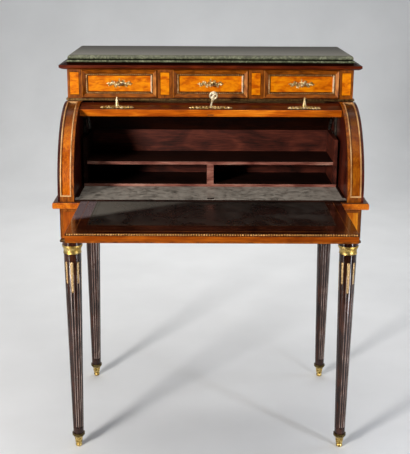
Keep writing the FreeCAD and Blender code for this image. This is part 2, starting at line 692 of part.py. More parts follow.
def make_tier():
    inner = carcass_half - tier_end
    inside = (tier_front, back_inside)
    piece(box("tier_floor_board", (-inner, inner), inside, (cheek_top, floor_top)))
    piece(box("tier_back", (-inner, inner), (back_inside, back), (cheek_top, tier_top)))
    piece(box("tier_top_board", (-carcass_half, carcass_half), (tier_front, back), (tier_top, cornice_top)))
    opening = (inner * 2 - tier_divider * 2) / 3
    pitch = opening + tier_divider
    for side, sign in sides:
        piece(box(f"tier_end_{side}", span(sign, inner, carcass_half), (tier_front, back),
                  (cheek_top, tier_top)))
        piece(box(f"tier_divider_{side}", span(sign, opening / 2, opening / 2 + tier_divider), inside,
                  (floor_top, tier_top)))
    path = [
        (-carcass_half, back), (-carcass_half, tier_front),
        (carcass_half, tier_front), (carcass_half, back),
    ]
    low = cheek_top
    edge = carcass_half + fillet_reach
    top = low + fillet_height
    fillet = [(-carcass_half, low), (-edge, low), (-edge, top), (-carcass_half, top)]
    piece(swept("tier_fillet", path, fillet))
    for label, middle in (("left", -pitch), ("middle", formula(0)), ("right", pitch)):
        make_drawer(label, middle, opening)
    make_cornice(path)


def make_drawer(label, middle, opening):
    half = opening / 2 - drawer_clear
    low = floor_top + drawer_clear
    top = tier_top - drawer_headroom
    face = tier_front
    shoulder = face + drawer_front
    end = back_inside - drawer_clear
    name = f"drawer_{label}"
    blank = box(name + "_blank", (middle - half, middle + half), (face, shoulder), (low, top))
    panel_half = half - frame_width
    recess = box(name + "_recess", (middle - panel_half, middle + panel_half), (face, face + frame_depth),
                 (low + frame_width, top - frame_width))
    piece(cut(name + "_front", blank, [recess]))
    inner = half - drawer_side
    wall = (low, low + drawer_wall)
    floor_low = low + drawer_groove
    walls = [
        box(name + "_side_left", (middle - half, middle - inner), (shoulder, end), wall),
        box(name + "_side_right", (middle + inner, middle + half), (shoulder, end), wall),
        box(name + "_tail", (middle - inner, middle + inner), (end - drawer_side, end),
            (floor_low + drawer_bottom, low + drawer_wall)),
        box(name + "_bottom", (middle - inner, middle + inner), (shoulder, end),
            (floor_low, floor_low + drawer_bottom)),
    ]
    piece(group(name + "_box", walls))
    make_pull(label, middle, face + frame_depth, (low + top) / 2)


def make_pull(label, middle, seat, height):
    name = f"pull_{label}"
    body = doc.addObject("PartDesign::Body", name)
    tips = [(-(pull_width / 2), 0, "left", pull_sweep), (pull_width / 2, 0, "left", pull_sweep)]
    padded(body, name + "_plate", "XZ_Plane", tips, pull_plate)
    collar = pull_reach * 0.55
    stem = [
        (0, 0), (0, -pull_reach), (pull_head * 0.6, -pull_reach), (pull_head, -(pull_reach * 0.85)),
        (pull_head, -(pull_reach * 0.7)), (pull_neck, -collar), (pull_neck, 0),
    ]
    turn_on(body, name, stem, "XY_Plane")
    piece(place(body, middle, seat, height))


def make_cornice(path):
    lip_low = tier_top + cornice_rise
    profile = [
        (-carcass_half, tier_top), (-(carcass_half + cornice_foot), tier_top, "right", cornice_sweep),
        (-(carcass_half + cornice_reach), lip_low), (-(carcass_half + cornice_reach), lip_low + cornice_lip,
                                                     "left", cornice_sweep),
        (-(carcass_half + cornice_ledge), cornice_top), (-carcass_half, cornice_top),
    ]
    piece(swept("cornice", path, profile))


def make_marble():
    half = carcass_half - marble_inset
    near = tier_front - marble_reach
    body = doc.addObject("PartDesign::Body", "marble_top")
    slab = [(-half, near), (half, near), (half, back), (-half, back)]
    pad = padded(body, "marble", "XY_Plane", slab, marble_thick, lift=cornice_top)
    doc.recompute()
    rounded = []
    for index, edge in enumerate(pad.Shape.Edges, 1):
        middle = edge.CenterOfMass
        on_top = abs(middle.z - (cornice_top + marble_thick).value) < fit_clear.value
        if on_top and abs(middle.y - back.value) > fit_clear.value:
            rounded.append(f"Edge{index}")
    edge_round = body.newObject("PartDesign::Fillet", "marble_edge")
    edge_round.Base = (pad, rounded)
    bind(edge_round, Radius=marble_round)
    piece(body)


make_legs()
make_apron()
make_waist()
make_cheeks()
make_bed()
make_slide()
make_unit()
make_cylinder()
make_lock()
make_key()
make_tier()
make_marble()
doc.recompute()

failed = [thing.Label for thing in doc.Objects if {"Invalid", "Error"} & set(thing.State)]
failed += [thing.Label for thing in pieces if thing.Shape.isNull() or not thing.Shape.isValid()]
if failed:
    raise RuntimeError("not built: " + ", ".join(failed))
os.makedirs("parts", exist_ok=True)
for thing in pieces:
    thing.Shape.exportStep(os.path.join("parts", thing.Label + ".step"))
print(len(pieces), "pieces written")
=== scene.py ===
import bmesh
import bpy
import math
from mathutils import Matrix, Vector


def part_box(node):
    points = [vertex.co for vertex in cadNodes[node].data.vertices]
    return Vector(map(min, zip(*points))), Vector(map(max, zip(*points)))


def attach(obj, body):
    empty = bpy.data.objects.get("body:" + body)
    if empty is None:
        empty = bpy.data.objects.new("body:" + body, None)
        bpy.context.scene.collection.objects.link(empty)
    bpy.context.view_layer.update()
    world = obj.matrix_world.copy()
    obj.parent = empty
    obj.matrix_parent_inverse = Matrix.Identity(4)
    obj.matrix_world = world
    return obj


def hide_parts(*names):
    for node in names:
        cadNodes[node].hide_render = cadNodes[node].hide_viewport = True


# Cylinder desk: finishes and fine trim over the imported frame, in metres, front towards -Y
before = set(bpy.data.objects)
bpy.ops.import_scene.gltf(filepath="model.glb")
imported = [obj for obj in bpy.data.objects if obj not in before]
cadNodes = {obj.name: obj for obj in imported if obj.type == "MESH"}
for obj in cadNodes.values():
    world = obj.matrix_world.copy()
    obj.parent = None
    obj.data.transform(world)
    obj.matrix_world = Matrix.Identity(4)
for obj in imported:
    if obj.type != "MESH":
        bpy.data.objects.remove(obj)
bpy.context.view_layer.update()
mm = 0.001
xAxis, yAxis, zAxis = Vector((1, 0, 0)), Vector((0, 1, 0)), Vector((0, 0, 1))
sides = {"left": -1, "right": 1}
drawers = ("left", "middle", "right")
ends = {"front": -1, "back": 1}


def hexColour(text):
    channels = [int(text[i:i + 2], 16) / 255 for i in (1, 3, 5)]
    return (*[c / 12.92 if c <= 0.04045 else ((c + 0.055) / 1.055) ** 2.4 for c in channels], 1.0)


def setInputs(tree, node, values):
    for name, value in values.items():
        if isinstance(value, bpy.types.NodeSocket):
            tree.links.new(value, node.inputs[name])
        else:
            node.inputs[name].default_value = value


def addNode(tree, kind, inputs=None, out=0, sizeMm=None, noise=(), span=(), stops=(), **settings):
    # gives one output; inputs is one socket or a dictionary, sizeMm a pattern's real size, noise its detail,
    # roughness and distortion, span a map range's From and To limits, stops a colour ramp's places and tones
    node = tree.nodes.new("ShaderNode" + kind)
    for name, value in settings.items():
        setattr(node, name, value)
    values = {0: inputs} if isinstance(inputs, bpy.types.NodeSocket) else dict(inputs or {})
    if sizeMm:
        values["Scale"] = 1000 / sizeMm
    values.update(zip(("Detail", "Roughness", "Distortion"), noise))
    values.update(zip(("From Min", "From Max", "To Min", "To Max"), span))
    setInputs(tree, node, values)
    for index, (place, tone) in enumerate(stops):
        ramp = node.color_ramp.elements
        stop = ramp[index] if index < 2 else ramp.new(place)
        stop.position = place
        stop.color = hexColour(tone)
    return node.outputs[out]


def newMaterial(name):
    material = bpy.data.materials.new(name)
    material.use_nodes = True
    tree = material.node_tree
    return material, tree, tree.nodes["Principled BSDF"], addNode(tree, "TexCoord", out="Object")


def addObject(name, data):
    thing = bpy.data.objects.new(name, data)
    bpy.context.scene.collection.objects.link(thing)
    return thing


def layered(tree, colour, layers):
    # lays tones over a colour, each by its own share
    for share, tone in layers:
        colour = addNode(tree, "Mix", {0: share, 6: colour, 7: hexColour(tone)}, 2, data_type="RGBA")
    return colour


def toneStops(look, low, middle, high):
    dark, medium, pale = look["tones"]
    return [(low, dark), (high, pale), (middle, medium)]


def tinted(base, name, *tones, **changes):
    return dict(base, name=name, tones=tones, **changes)


# Veneers are thin cut sheets, glued down and French polished: deep colour under a hard shine
satinwood = {"name": "satinwoodVeneer", "tones": ("#8e3800", "#c86402", "#ea8a06"), "pore": "#863e02",
             "grainMm": 3.0, "figureMm": 34, "stretch": 0.16, "roughness": 0.36, "coat": 0.06,
             "specular": 0.25}
# Kingwood banding is cut across the grain round each panel, browner and stripier than the panels
banding = {"name": "kingwoodBanding", "tones": ("#4e2202", "#864508", "#ae5e0c"), "pore": "#381802",
           "grainMm": 2.0, "figureMm": 14, "stretch": 0.1, "roughness": 0.4, "coat": 0.0, "specular": 0.2}
# A paler tan copy of the banding, painted highlight where light catches the drawer frames
highlightBanding = tinted(banding, "highlightBandingWood", "#7c3e0c", "#b86c22", "#dc9a4a")
# Mahogany is planed solid wood, red brown, with short dark pores along the grain
mahogany = {"name": "polishedMahogany", "tones": ("#1e0805", "#46150a", "#622611"), "pore": "#2a0e08",
            "grainMm": 3.4, "figureMm": 48, "stretch": 0.07, "roughness": 0.36, "coat": 0.0, "specular": 0.22}
# The lid's boards have lost their polish, so they keep their red brown from any side; painted shade blackens
# them where they face down
lidBoards = tinted(mahogany, "lidMahogany", "#2a0d04", "#561e0a", "#743012", roughness=0.6, specular=0.02,
                   top="#0a0402", facing=(0.0, -0.3))
# The cornice is redder; painted shade blackens its hollow under the marble, where it faces up
cornice = tinted(mahogany, "corniceMahogany", "#2a0a02", "#541803", "#742c06", specular=0.12, top="#120402",
                 facing=(0.2, 0.6))
# The lipping of the slide is paler mahogany, worn orange by hands
lipping = {"name": "mahoganyLipping", "tones": ("#662602", "#8e4205", "#b05c0a"), "pore": "#602808",
           "grainMm": 3.0, "figureMm": 60, "stretch": 0.06, "roughness": 0.34, "coat": 0.04, "specular": 0.2}
# The lid's leading edge is a brighter copy of the lipping, painted light where it tilts up to the lamp
litLipping = tinted(lipping, "litLeadingEdge", "#963f06", "#c9620a", "#ee8a1a")
# The slide's border is the darkest wood on the desk, polished like glass by sleeves, with a painted sheen of
# pale grey at its left and back
border = {"name": "polishedBorder", "tones": ("#120503", "#301308", "#4e220e"), "pore": "#0c0503",
          "grainMm": 3.4, "figureMm": 70, "stretch": 0.06, "roughness": 0.16, "coat": 0.7, "paintedSheen": "#86767a"}
# The legs are stained nearly black, so only their polish shows
stained = {"name": "stainedMahogany", "tones": ("#140804", "#2a140c", "#462618"), "pore": "#0a0503",
           "grainMm": 3.0, "figureMm": 40, "stretch": 0.05, "roughness": 0.13, "coat": 0.0, "specular": 0.38,
           "bump": 0.02}
# Pale lines on some arrises of the flutes, the front and front-right ones, are painted highlights
arrisHighlight = tinted(stained, "arrisHighlightWood", "#54423a", "#8c7870", "#beaea6", roughness=0.24, specular=0.6)
# The pigeonhole unit has gone duller and browner, and its front edges are rubbed to bare pinkish wood
inside = tinted(mahogany, "dullMahogany", "#1a0a06", "#481c12", "#6a3020", roughness=0.5)
rubbed = tinted(mahogany, "rubbedMahogany", "#5c2c24", "#8e594c", "#b58c7c", roughness=0.5)
# Unpolished boards, such as the shelf and the edge of the bed, are nearly black; on the unit's left end it is
# painted shade
nearBlack = tinted(mahogany, "nearBlackMahogany", "#0a0403", "#1c0c07", "#30160c", roughness=0.55, specular=0.1)
# Cheeks and waist: the same veneer as the panels, with painted shade turning them brown where they face up
cheekVeneer = tinted(satinwood, "cheekVeneer", "#863600", "#bc6003", "#d88208", specular=0.14, top="#301202",
                     facing=(0.62, 0.95))
# the right cheek is a darker copy of the left one, painted shade
shadedRightVeneer = tinted(cheekVeneer, "shadedRightVeneer", "#642802", "#8c4803", "#a6650b")
waistVeneer = tinted(satinwood, "waistVeneer", "#7e3200", "#b25902", "#d07b05", top="#260e04",
                     facing=(0.6, 0.9))
# The front head of the left leg is a darker, redder copy, painted shade; the right one a brighter copy,
# painted light
shadedHead = tinted(lipping, "shadedHeadVeneer", "#602403", "#883e05", "#aa560a")
litHeadVeneer = tinted(satinwood, "litHeadVeneer", "#be5a02", "#ee8a10", "#ffaa24")
# Oak is the plain inside wood: sawn, unpolished, pale and open grained
oak = {"name": "sawnOak", "tones": ("#7a5530", "#9c7446", "#b8905c"), "pore": "#6a4726", "grainMm": 4.0,
       "figureMm": 70, "stretch": 0.05, "roughness": 0.62, "coat": 0.0}
woodCut = {"figureRun": 0.45, "poreRun": 0.03, "figureShare": 0.55, "polishIor": 1.5, "coatRoughness": 0.12,
           "specular": 0.35, "bump": 0.12, "paintedShade": 0.88,
           "poreMm": 1.6}  # real pores are 0.2 mm wide, drawn coarser so that they show
# Painted sheen: pale grey at the left and back of the slide, up to a slanting line: slope, and limits in
# metres
sheenEdge = {"slope": -0.62, "back": (-0.09, -0.06), "left": (-0.24, 0.04, 0.8, 0.0)}


def sheenShare(tree, place):
    x = addNode(tree, "SeparateXYZ", place, "X")
    slant = addNode(tree, "Math", {0: x, 1: sheenEdge["slope"], 2: x.node.outputs["Y"]},
                    operation="MULTIPLY_ADD")
    back = addNode(tree, "MapRange", slant, span=sheenEdge["back"])
    left = addNode(tree, "MapRange", x, span=sheenEdge["left"])
    return addNode(tree, "Math", {0: back, 1: left}, operation="MULTIPLY")


def woodMaterial(look, along):
    material, tree, shader, place = newMaterial(f"{look['name']}.{along}")
    runs = look["stretch"], woodCut["figureRun"], woodCut["poreRun"]
    scales = [[run if axis == along else 1.0 for axis in "xyz"] for run in runs]
    grainPlace, figurePlace, porePlace = [
        addNode(tree, "Mapping", {"Vector": place, "Scale": scale}) for scale in scales]
    grain = addNode(tree, "TexNoise", grainPlace, sizeMm=look["grainMm"], noise=(5.0, 0.62, 0.5))
    figure = addNode(tree, "TexNoise", figurePlace, sizeMm=look["figureMm"], noise=(3.0, 0.55, 1.2))
    pore = addNode(tree, "TexNoise", porePlace, sizeMm=woodCut["poreMm"], noise=(2.0,))
    part = woodCut["figureShare"]
    share = addNode(tree, "Math", {0: figure, 1: part}, operation="MULTIPLY")
    tone = addNode(tree, "Math", {0: grain, 1: 1 - part, 2: share}, operation="MULTIPLY_ADD")
    colour = addNode(tree, "ValToRGB", tone, stops=toneStops(look, 0.36, 0.5, 0.66))
    streak = addNode(tree, "MapRange", pore, span=(0.34, 0.44, 0.55, 0.0))
    rough = addNode(tree, "MapRange", figure,
                    span=(0.3, 0.7, look["roughness"] - 0.05, look["roughness"] + 0.08))
    bump = addNode(tree, "Bump",
                   {"Height": tone, "Strength": look.get("bump", woodCut["bump"]), "Distance": 0.6 * mm})
    layers = [(streak, look["pore"])]
    # painted shade: the top tone darkens faces by the height of their normal, between the facing limits
    if "top" in look:
        normal = addNode(tree, "NewGeometry", out="Normal")
        upward = addNode(tree, "SeparateXYZ", normal, "Z")
        paintedShade = addNode(tree, "MapRange", upward, span=(*look["facing"], 0.0, woodCut["paintedShade"]))
        layers.append((paintedShade, look["top"]))
    # painted sheen: a pale grey laid over the left and back of the slide
    if "paintedSheen" in look:
        layers.append((sheenShare(tree, place), look["paintedSheen"]))
    setInputs(tree, shader, {"Base Color": layered(tree, colour, layers), "Roughness": rough, "Normal": bump,
                             "IOR": woodCut["polishIor"], "Coat Weight": look["coat"],
                             "Specular IOR Level": look.get("specular", woodCut["specular"]),
                             "Coat Roughness": woodCut["coatRoughness"]})
    return material


# Burr veneer is cut from a knotty growth: cloudy orange with small dark eyes, a little drawn out sideways
burr = {"name": "thuyaBurr", "tones": ("#b85400", "#dc7601", "#f09203"), "eye": "#7c3202", "cloudMm": 12,
        "eyeMm": 8, "drawn": 0.45, "specular": 0.16, "coat": 0.03}


def burrMaterial(look):
    material, tree, shader, place = newMaterial(look["name"])
    drawn = addNode(tree, "Mapping", {"Vector": place, "Scale": (look["drawn"], 1, 1)})
    cloud = addNode(tree, "TexNoise", drawn, sizeMm=look["cloudMm"], noise=(6.0, 0.58, 0.6))
    eyes = addNode(tree, "TexVoronoi", drawn, sizeMm=look["eyeMm"])
    colour = addNode(tree, "ValToRGB", cloud, stops=toneStops(look, 0.36, 0.48, 0.62))
    spot = addNode(tree, "MapRange", eyes, span=(0.04, 0.16, 0.6, 0.0))
    held = addNode(tree, "MapRange", cloud, span=(0.42, 0.5, 1.0, 0.0))
    share = addNode(tree, "Math", {0: spot, 1: held}, operation="MULTIPLY")
    surface = layered(tree, colour, [(share, look["eye"])])
    rough = addNode(tree, "MapRange", cloud, span=(0.0, 1.0, 0.28, 0.42))
    bump = addNode(tree, "Bump", {"Height": cloud, "Strength": 0.1, "Distance": 0.8 * mm})
    setInputs(tree, shader, {"Base Color": surface, "Roughness": rough, "Normal": bump,
                             "Specular IOR Level": look["specular"], "Coat Weight": look["coat"],
                             "Coat Roughness": woodCut["coatRoughness"]})
    return material


# Gilt brass is cast, chased and fire gilded: soft yellow shine, browner where it has been rubbed or is dirty
gilding = {"name": "giltBrass", "tones": ("#7e5f27", "#b8974e", "#e6d09a"), "patchMm": 14, "roughness": 0.3,
           "bump": 0.2, "metallic": 1.0}
# The capitals are turned, so their gilding is smoother
turning = tinted(gilding, "turnedGilding", "#94742e", "#b2924a", "#d2b876", patchMm=36, roughness=0.36,
                 bump=0.04)
# The slide's beads are worn to one even brown gold
beading = tinted(gilding, "beadGilding", "#926430", "#b88648", "#d4a668", patchMm=4)
# Cast mounts are chased, then matted: creamy on the side of the light, dark in the hollows
casting = tinted(gilding, "castGilding", "#5a3e16", "#cbac66", "#fff0cc", patchMm=6, roughness=0.34,
                 bump=0.25, metallic=0.85)
# Husk drops are stamped from thin sheet, rubbed pale
stamping = tinted(gilding, "stampedGilding", "#6a4a22", "#b48e58", "#e0c496", patchMm=3, roughness=0.42,
                  bump=0.5, metallic=0.7)
# Feet: yellow brass, black with floor polish round the top
footing = tinted(gilding, "footBrass", "#4a3616", "#a8883e", "#ead08a", patchMm=5, bump=0.3,
                 dirt=(29 * mm, 36 * mm, 0.0, 0.8))
# Painted highlight: pale brass laid over the slope of the right slip of each drawer frame
slipHighlight = tinted(gilding, "slipHighlightBrass", "#b8986a", "#ecd8b0", "#fff4dc", patchMm=8, roughness=0.45, bump=0.1,
                 metallic=0.3)
# Brass that nobody rubs has gone greenish brown
ageing = tinted(gilding, "agedBrass", "#2a1e0e", "#5a4222", "#967848", patchMm=4, roughness=0.36,
                metallic=0.8)
# Thin brass lines and beads have gone dull and pinkish under old polish
dulling = tinted(gilding, "dullBrass", "#7a5226", "#c49058", "#f0c68e", patchMm=9, roughness=0.42, bump=0.15,
                 metallic=0.45)
# The fillets and strings of the cheeks are drawn strip, smoother than the rest
drawing = tinted(dulling, "drawnBrass", "#a06c38", "#c49058", "#e0b47c", patchMm=40, bump=0.03)
# The bead round the foot of the apron is nearly black with age
tarnish = tinted(gilding, "tarnishedBrass", "#20160e", "#463220", "#705436", patchMm=10, roughness=0.4)
# The lock is filed steel: grey, finely scratched
steel = tinted(gilding, "filedSteel", "#5a5248", "#9c9080", "#cfc4ae", patchMm=6, roughness=0.34, bump=0.15)
# The bolt is steel, browned to the colour of the wood round it
bolting = tinted(steel, "brownedSteel", "#7a3a0a", "#a85814", "#c87020", roughness=0.45, bump=0.1,
                 metallic=0.4)
# The desk key is bright steel under yellowed lacquer
lacquering = tinted(steel, "lacqueredSteel", "#9a855c", "#dccaa0", "#f6ecd2", patchMm=7, roughness=0.36,
                    metallic=0.6)
# The lid's arms are forged iron, blackened with age
iron = tinted(gilding, "forgedIron", "#2a2826", "#54504a", "#8a847a", patchMm=12, roughness=0.36, bump=0.3)
metalCut = {"chasingMm": 1.8, "dirt": "#17120b"}  # chasing marks are finer, drawn coarser so that they show


def metalMaterial(look):
    material, tree, shader, place = newMaterial(look["name"])
    patch = addNode(tree, "TexNoise", place, sizeMm=look["patchMm"], noise=(5.0, 0.6))
    chasing = addNode(tree, "TexNoise", place, sizeMm=metalCut["chasingMm"], noise=(2.0,))
    colour = addNode(tree, "ValToRGB", patch, stops=toneStops(look, 0.32, 0.45, 0.6))
    rough = addNode(tree, "MapRange", patch,
                    span=(0.3, 0.7, look["roughness"] + 0.14, look["roughness"] - 0.06))
    bump = addNode(tree, "Bump", {"Height": chasing, "Strength": look["bump"], "Distance": 0.5 * mm})
    if "dirt" in look:
        height = addNode(tree, "SeparateXYZ", place, "Z")
        dirt = addNode(tree, "MapRange", height, span=look["dirt"])
        colour = layered(tree, colour, [(dirt, metalCut["dirt"])])
    setInputs(tree, shader, {"Base Color": colour, "Roughness": rough, "Normal": bump,
                             "Metallic": look["metallic"]})
    return material


# Green marble is sawn and polished stone: dark green clouds broken by pale veins. Painted shade darkens the
# groove and the underside of the edge, painted highlights make the rounds pale, and dust with a painted sheen
# pales the top, less towards the back. The stops of paintedShading and dustAndSheenFall are shares of the
# slab's height, those of dustAndSheenTone of its depth
marble = {"name": "greenMarble", "tones": ("#343a2a", "#5e644c", "#949a7e"), "vein": "#c4caae", "cloudMm": 11,
          "veinMm": 26, "shift": 0.12, "roughness": 0.4, "specular": 0.02, "polishIor": 1.5,
          "paintedShading": [(0.0, "#484848"), (1.0, "#868686"), (0.11, "#d8d8d8"), (0.16, "#ffffff"), (0.26, "#ffffff"),
                  (0.34, "#606060"), (0.38, "#1c1c1c"), (0.43, "#242424"), (0.48, "#c4c4c4"),
                  (0.6, "#e4e4e4"), (0.9, "#e4e4e4")], "dustAndSheenTone": [(0.0, "#a2a09a"), (1.0, "#504e4a")],
          "dustAndSheenFall": [(0.55, "#000000"), (0.99, "#dcdcdc"), (0.7, "#757575"), (0.95, "#757575")]}


def marbleMaterial(look):
    material, tree, shader, place = newMaterial(look["name"])
    cloud = addNode(tree, "TexNoise", place, sizeMm=look["cloudMm"], noise=(9.0, 0.66, 1.4))
    shift = addNode(tree, "Mix", {0: look["shift"], 4: place, 5: cloud.node.outputs["Color"]}, 1,
                    data_type="VECTOR")
    cracks = addNode(tree, "TexVoronoi", shift, sizeMm=look["veinMm"], feature="DISTANCE_TO_EDGE")
    colour = addNode(tree, "ValToRGB", cloud, stops=toneStops(look, 0.38, 0.52, 0.66))
    vein = addNode(tree, "MapRange", cracks, span=(0.0, 0.045, 0.6, 0.0))
    broken = addNode(tree, "Math", {0: vein, 1: cloud}, operation="MULTIPLY")
    surface = layered(tree, colour, [(broken, look["vein"])])
    rough = addNode(tree, "MapRange", cloud,
                    span=(0.0, 1.0, look["roughness"] - 0.06, look["roughness"] + 0.14))
    low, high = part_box("marble_top")
    height = addNode(tree, "SeparateXYZ", place, "Z")
    lift = addNode(tree, "MapRange", height, span=(low.z, high.z))
    # painted shade in the groove and under the edge, painted highlights on the rounds
    paintedShading = addNode(tree, "ValToRGB", lift, stops=look["paintedShading"])
    shadedStone = addNode(tree, "Mix", {0: 1.0, 6: surface, 7: paintedShading}, 2, data_type="RGBA", blend_type="MULTIPLY")
    # dust and painted sheen on the top, paler towards the front
    depth = addNode(tree, "MapRange", height.node.outputs["Y"], span=(low.y, high.y))
    dustAndSheen = addNode(tree, "ValToRGB", depth, stops=look["dustAndSheenTone"])
    fall = addNode(tree, "ValToRGB", lift, stops=look["dustAndSheenFall"])
    finished = addNode(tree, "Mix", {0: fall, 6: shadedStone, 7: dustAndSheen}, 2, data_type="RGBA")
    setInputs(tree, shader, {"Base Color": finished, "Roughness": rough, "IOR": look["polishIor"],
                             "Specular IOR Level": look["specular"]})
    return material


# Desk leather is dyed, glazed hide: fine pebbled grain, polished by sleeves, grey where the dye has gone
# the black hide carries the same painted sheen as the border
blackHide = {"name": "blackHide", "tones": ("#080707", "#12100e", "#2a2723"), "pebbleMm": 2.6, "wearMm": 90,
             "scuffMm": 38, "roughness": 0.24, "polishIor": 1.5, "paintedSheen": "#6c6962"}
wornHide = {"name": "wornHide", "tones": ("#38352f", "#8c877f", "#aca79e"), "pebbleMm": 3.0, "wearMm": 22,
            "scuffMm": 38, "roughness": 0.45, "polishIor": 1.5}


def hideMaterial(look):
    material, tree, shader, place = newMaterial(look["name"])
    wear = addNode(tree, "TexNoise", place, sizeMm=look["wearMm"], noise=(7.0, 0.62, 0.8))
    pebble = addNode(tree, "TexVoronoi", place, sizeMm=look["pebbleMm"])
    scuff = addNode(tree, "TexVoronoi", place, sizeMm=look["scuffMm"])
    colour = addNode(tree, "ValToRGB", wear, stops=toneStops(look, 0.3, 0.5, 0.74))
    layers = [(addNode(tree, "MapRange", scuff, span=(0.06, 0.14, 0.7, 0.0)), look["tones"][0])]
    # painted sheen: a pale grey laid over the left and back of the slide
    if "paintedSheen" in look:
        layers.append((sheenShare(tree, place), look["paintedSheen"]))
    rough = addNode(tree, "MapRange", wear,
                    span=(0.3, 0.7, look["roughness"] - 0.06, look["roughness"] + 0.16))
    bump = addNode(tree, "Bump", {"Height": pebble, "Strength": 0.12, "Distance": 0.4 * mm})
    setInputs(tree, shader, {"Base Color": layered(tree, colour, layers), "Roughness": rough, "Normal": bump,
                             "IOR": look["polishIor"]})
    return material


veneerX, veneerY, veneerZ = [woodMaterial(satinwood, along) for along in "xyz"]
bandX, bandY, bandZ = [woodMaterial(banding, along) for along in "xyz"]
insideX, insideY, insideZ = [woodMaterial(inside, along) for along in "xyz"]
redX, redZ = [woodMaterial(mahogany, along) for along in "xz"]
lippingX, lippingY = [woodMaterial(lipping, along) for along in "xy"]
oakX, oakY = [woodMaterial(oak, along) for along in "xy"]
waistY = woodMaterial(waistVeneer, "y")
corniceX, lidX, nearBlackX, borderX, litLeadingX, rubbedX = [
    woodMaterial(look, "x") for look in (cornice, lidBoards, nearBlack, border, litLipping, rubbed)]
highlightBandZ, cheekZ, shadedRightZ, litHeadZ, shadedHeadZ, stainedZ, arrisHighlightZ = [
    woodMaterial(look, "z") for look in (highlightBanding, cheekVeneer, shadedRightVeneer, litHeadVeneer, shadedHead, stained,
                                         arrisHighlight)]
gilt, turnedGilt, castGilt, beadGilt, huskGilt = [
    metalMaterial(look) for look in (gilding, turning, casting, beading, stamping)]
footBrass, slipHighlightBrass, agedBrass, dullBrass, drawnBrass, darkBrass = [
    metalMaterial(look) for look in (footing, slipHighlight, ageing, dulling, drawing, tarnish)]
lockSteel, boltSteel, keySteel, armIron = [metalMaterial(look) for look in (steel, bolting, lacquering, iron)]
burrPanel, stone = burrMaterial(burr), marbleMaterial(marble)
slideHide, bedHide = hideMaterial(blackHide), hideMaterial(wornHide)
print("materials ready:", len(bpy.data.materials))

# Finishes of the CAD pieces that show as they are
nodeFinish = (
    (stone, "marble_top"), (corniceX, "cornice"), (redX, "tier_top_board tier_floor_board cylinder_rail"),
    (oakX, "tier_back back_panel apron_back"), (bandX, "apron_front"), (bandY, "apron_left apron_right"),
    (bandZ, "tier_end_left tier_end_right tier_divider_left tier_divider_right"), (agedBrass, "tier_fillet"),
    (redZ, "cheek_left cheek_right"), (waistY, "waist_moulding_left waist_moulding_right"),
    # the left end of the pigeonhole unit takes the near black as painted shade
    (bedHide, "bed_leather"), (nearBlackX, "writing_bed unit_floor_board unit_shelf unit_end_left"),
    (oakY, "slide_runner_left slide_runner_right"), (borderX, "slide_board"), (slideHide, "slide_leather"),
    (insideX, "unit_back"), (insideZ, "unit_divider"), (insideY, "unit_end_right"), (darkBrass, "apron_bead"),
    (turnedGilt, "leg_capitals"), (footBrass, "leg_feet"), (lidX, "cylinder_shell"),
    (armIron, "arm_left arm_right pivot_pins"), (lockSteel, "lock_case"), (boltSteel, "lock_bolt"),
    (stainedZ, "leg_front_left leg_front_right leg_back_left leg_back_right"),
    (bandX, "drawer_left_front drawer_middle_front drawer_right_front"),
    (oakY, "drawer_left_box drawer_middle_box drawer_right_box"))
for finish, names in nodeFinish:
    for name in names.split():
        for part in cadNodes[name].material_slots:
            part.material = finish
print("CAD pieces finished")


# Shapes are (points, faces) pairs, merged and moved into place before they become pieces
def skin(rings, loop=False):
    size = len(rings[0])
    points = [point for ring in rings for point in ring]
    faces = []
    for row in range(len(rings) if loop else len(rings) - 1):
        here, there = row * size, (row + 1) % len(rings) * size
        faces += [(here + i, here + (i + 1) % size, there + (i + 1) % size, there + i) for i in range(size)]
    if not loop:
        faces += [tuple(range(size))[::-1], tuple(range(len(points) - size, len(points)))]
    return points, faces


def merge(shapes):
    points, faces = [], []
    for shapePoints, shapeFaces in shapes:
        start = len(points)
        points += shapePoints
        faces += [tuple(start + i for i in face) for face in shapeFaces]
    return points, faces


def moved(shape, matrix):
    return [matrix @ point for point in shape[0]], shape[1]


def inMm(pairs):
    return [(first * mm, second * mm) for first, second in pairs]


def shifted(x=0.0, y=0.0, z=0.0):
    return Matrix.Translation((x, y, z))


def turned(degrees, axis="Z"):
    return Matrix.Rotation(math.radians(degrees), 4, axis)


def circle(count):
    return [(math.cos(2 * math.pi * i / count), math.sin(2 * math.pi * i / count)) for i in range(count)]


def lathe(profile, count=24):
    turns = circle(count)
    return skin([[Vector((radius * c, radius * s, height)) for c, s in turns] for radius, height in profile])


def bead(radius):
    tilts = [math.radians(tilt) for tilt in (2, 30, 58, 82)]
    return lathe([(radius * math.cos(tilt), radius * math.sin(tilt)) for tilt in tilts], 8)


leafSection = [(-1, 0), (-0.55, 0.62), (-0.16, 0.5), (0, 1), (0.16, 0.5), (0.55, 0.62), (1, 0), (0, -0.15)]


def leaf(length, width, thick, curl):
    # a chased leaf lying along +X: ridged along its middle, hollow cheeks, tip lifted by curl
    rings = []
    for step in range(7):
        t = 0.02 + 0.16 * step
        half = width / 2 * math.sin(math.pi * t ** 0.75) + 0.2 * mm
        high = thick * math.sin(math.pi * t ** 0.6) + 0.2 * mm
        rings.append([Vector((length * t, half * a, curl * t * t + high * b)) for a, b in leafSection])
    return skin(rings)


def tube(path, radius, count=10, loop=False, flat=yAxis):
    # flat is square to the plane that the path lies in
    rings = []
    for i, point in enumerate(path):
        after = path[(i + 1) % len(path)] if loop or i < len(path) - 1 else point
        before = path[i - 1] if loop or i > 0 else point
        along = (after - before).normalized()
        side = along.cross(flat).normalized()
        up = side.cross(along)
        size = radius[i] if isinstance(radius, list) else radius
        rings.append([point + side * size * c + up * size * s for c, s in circle(count)])
    return skin(rings, loop)


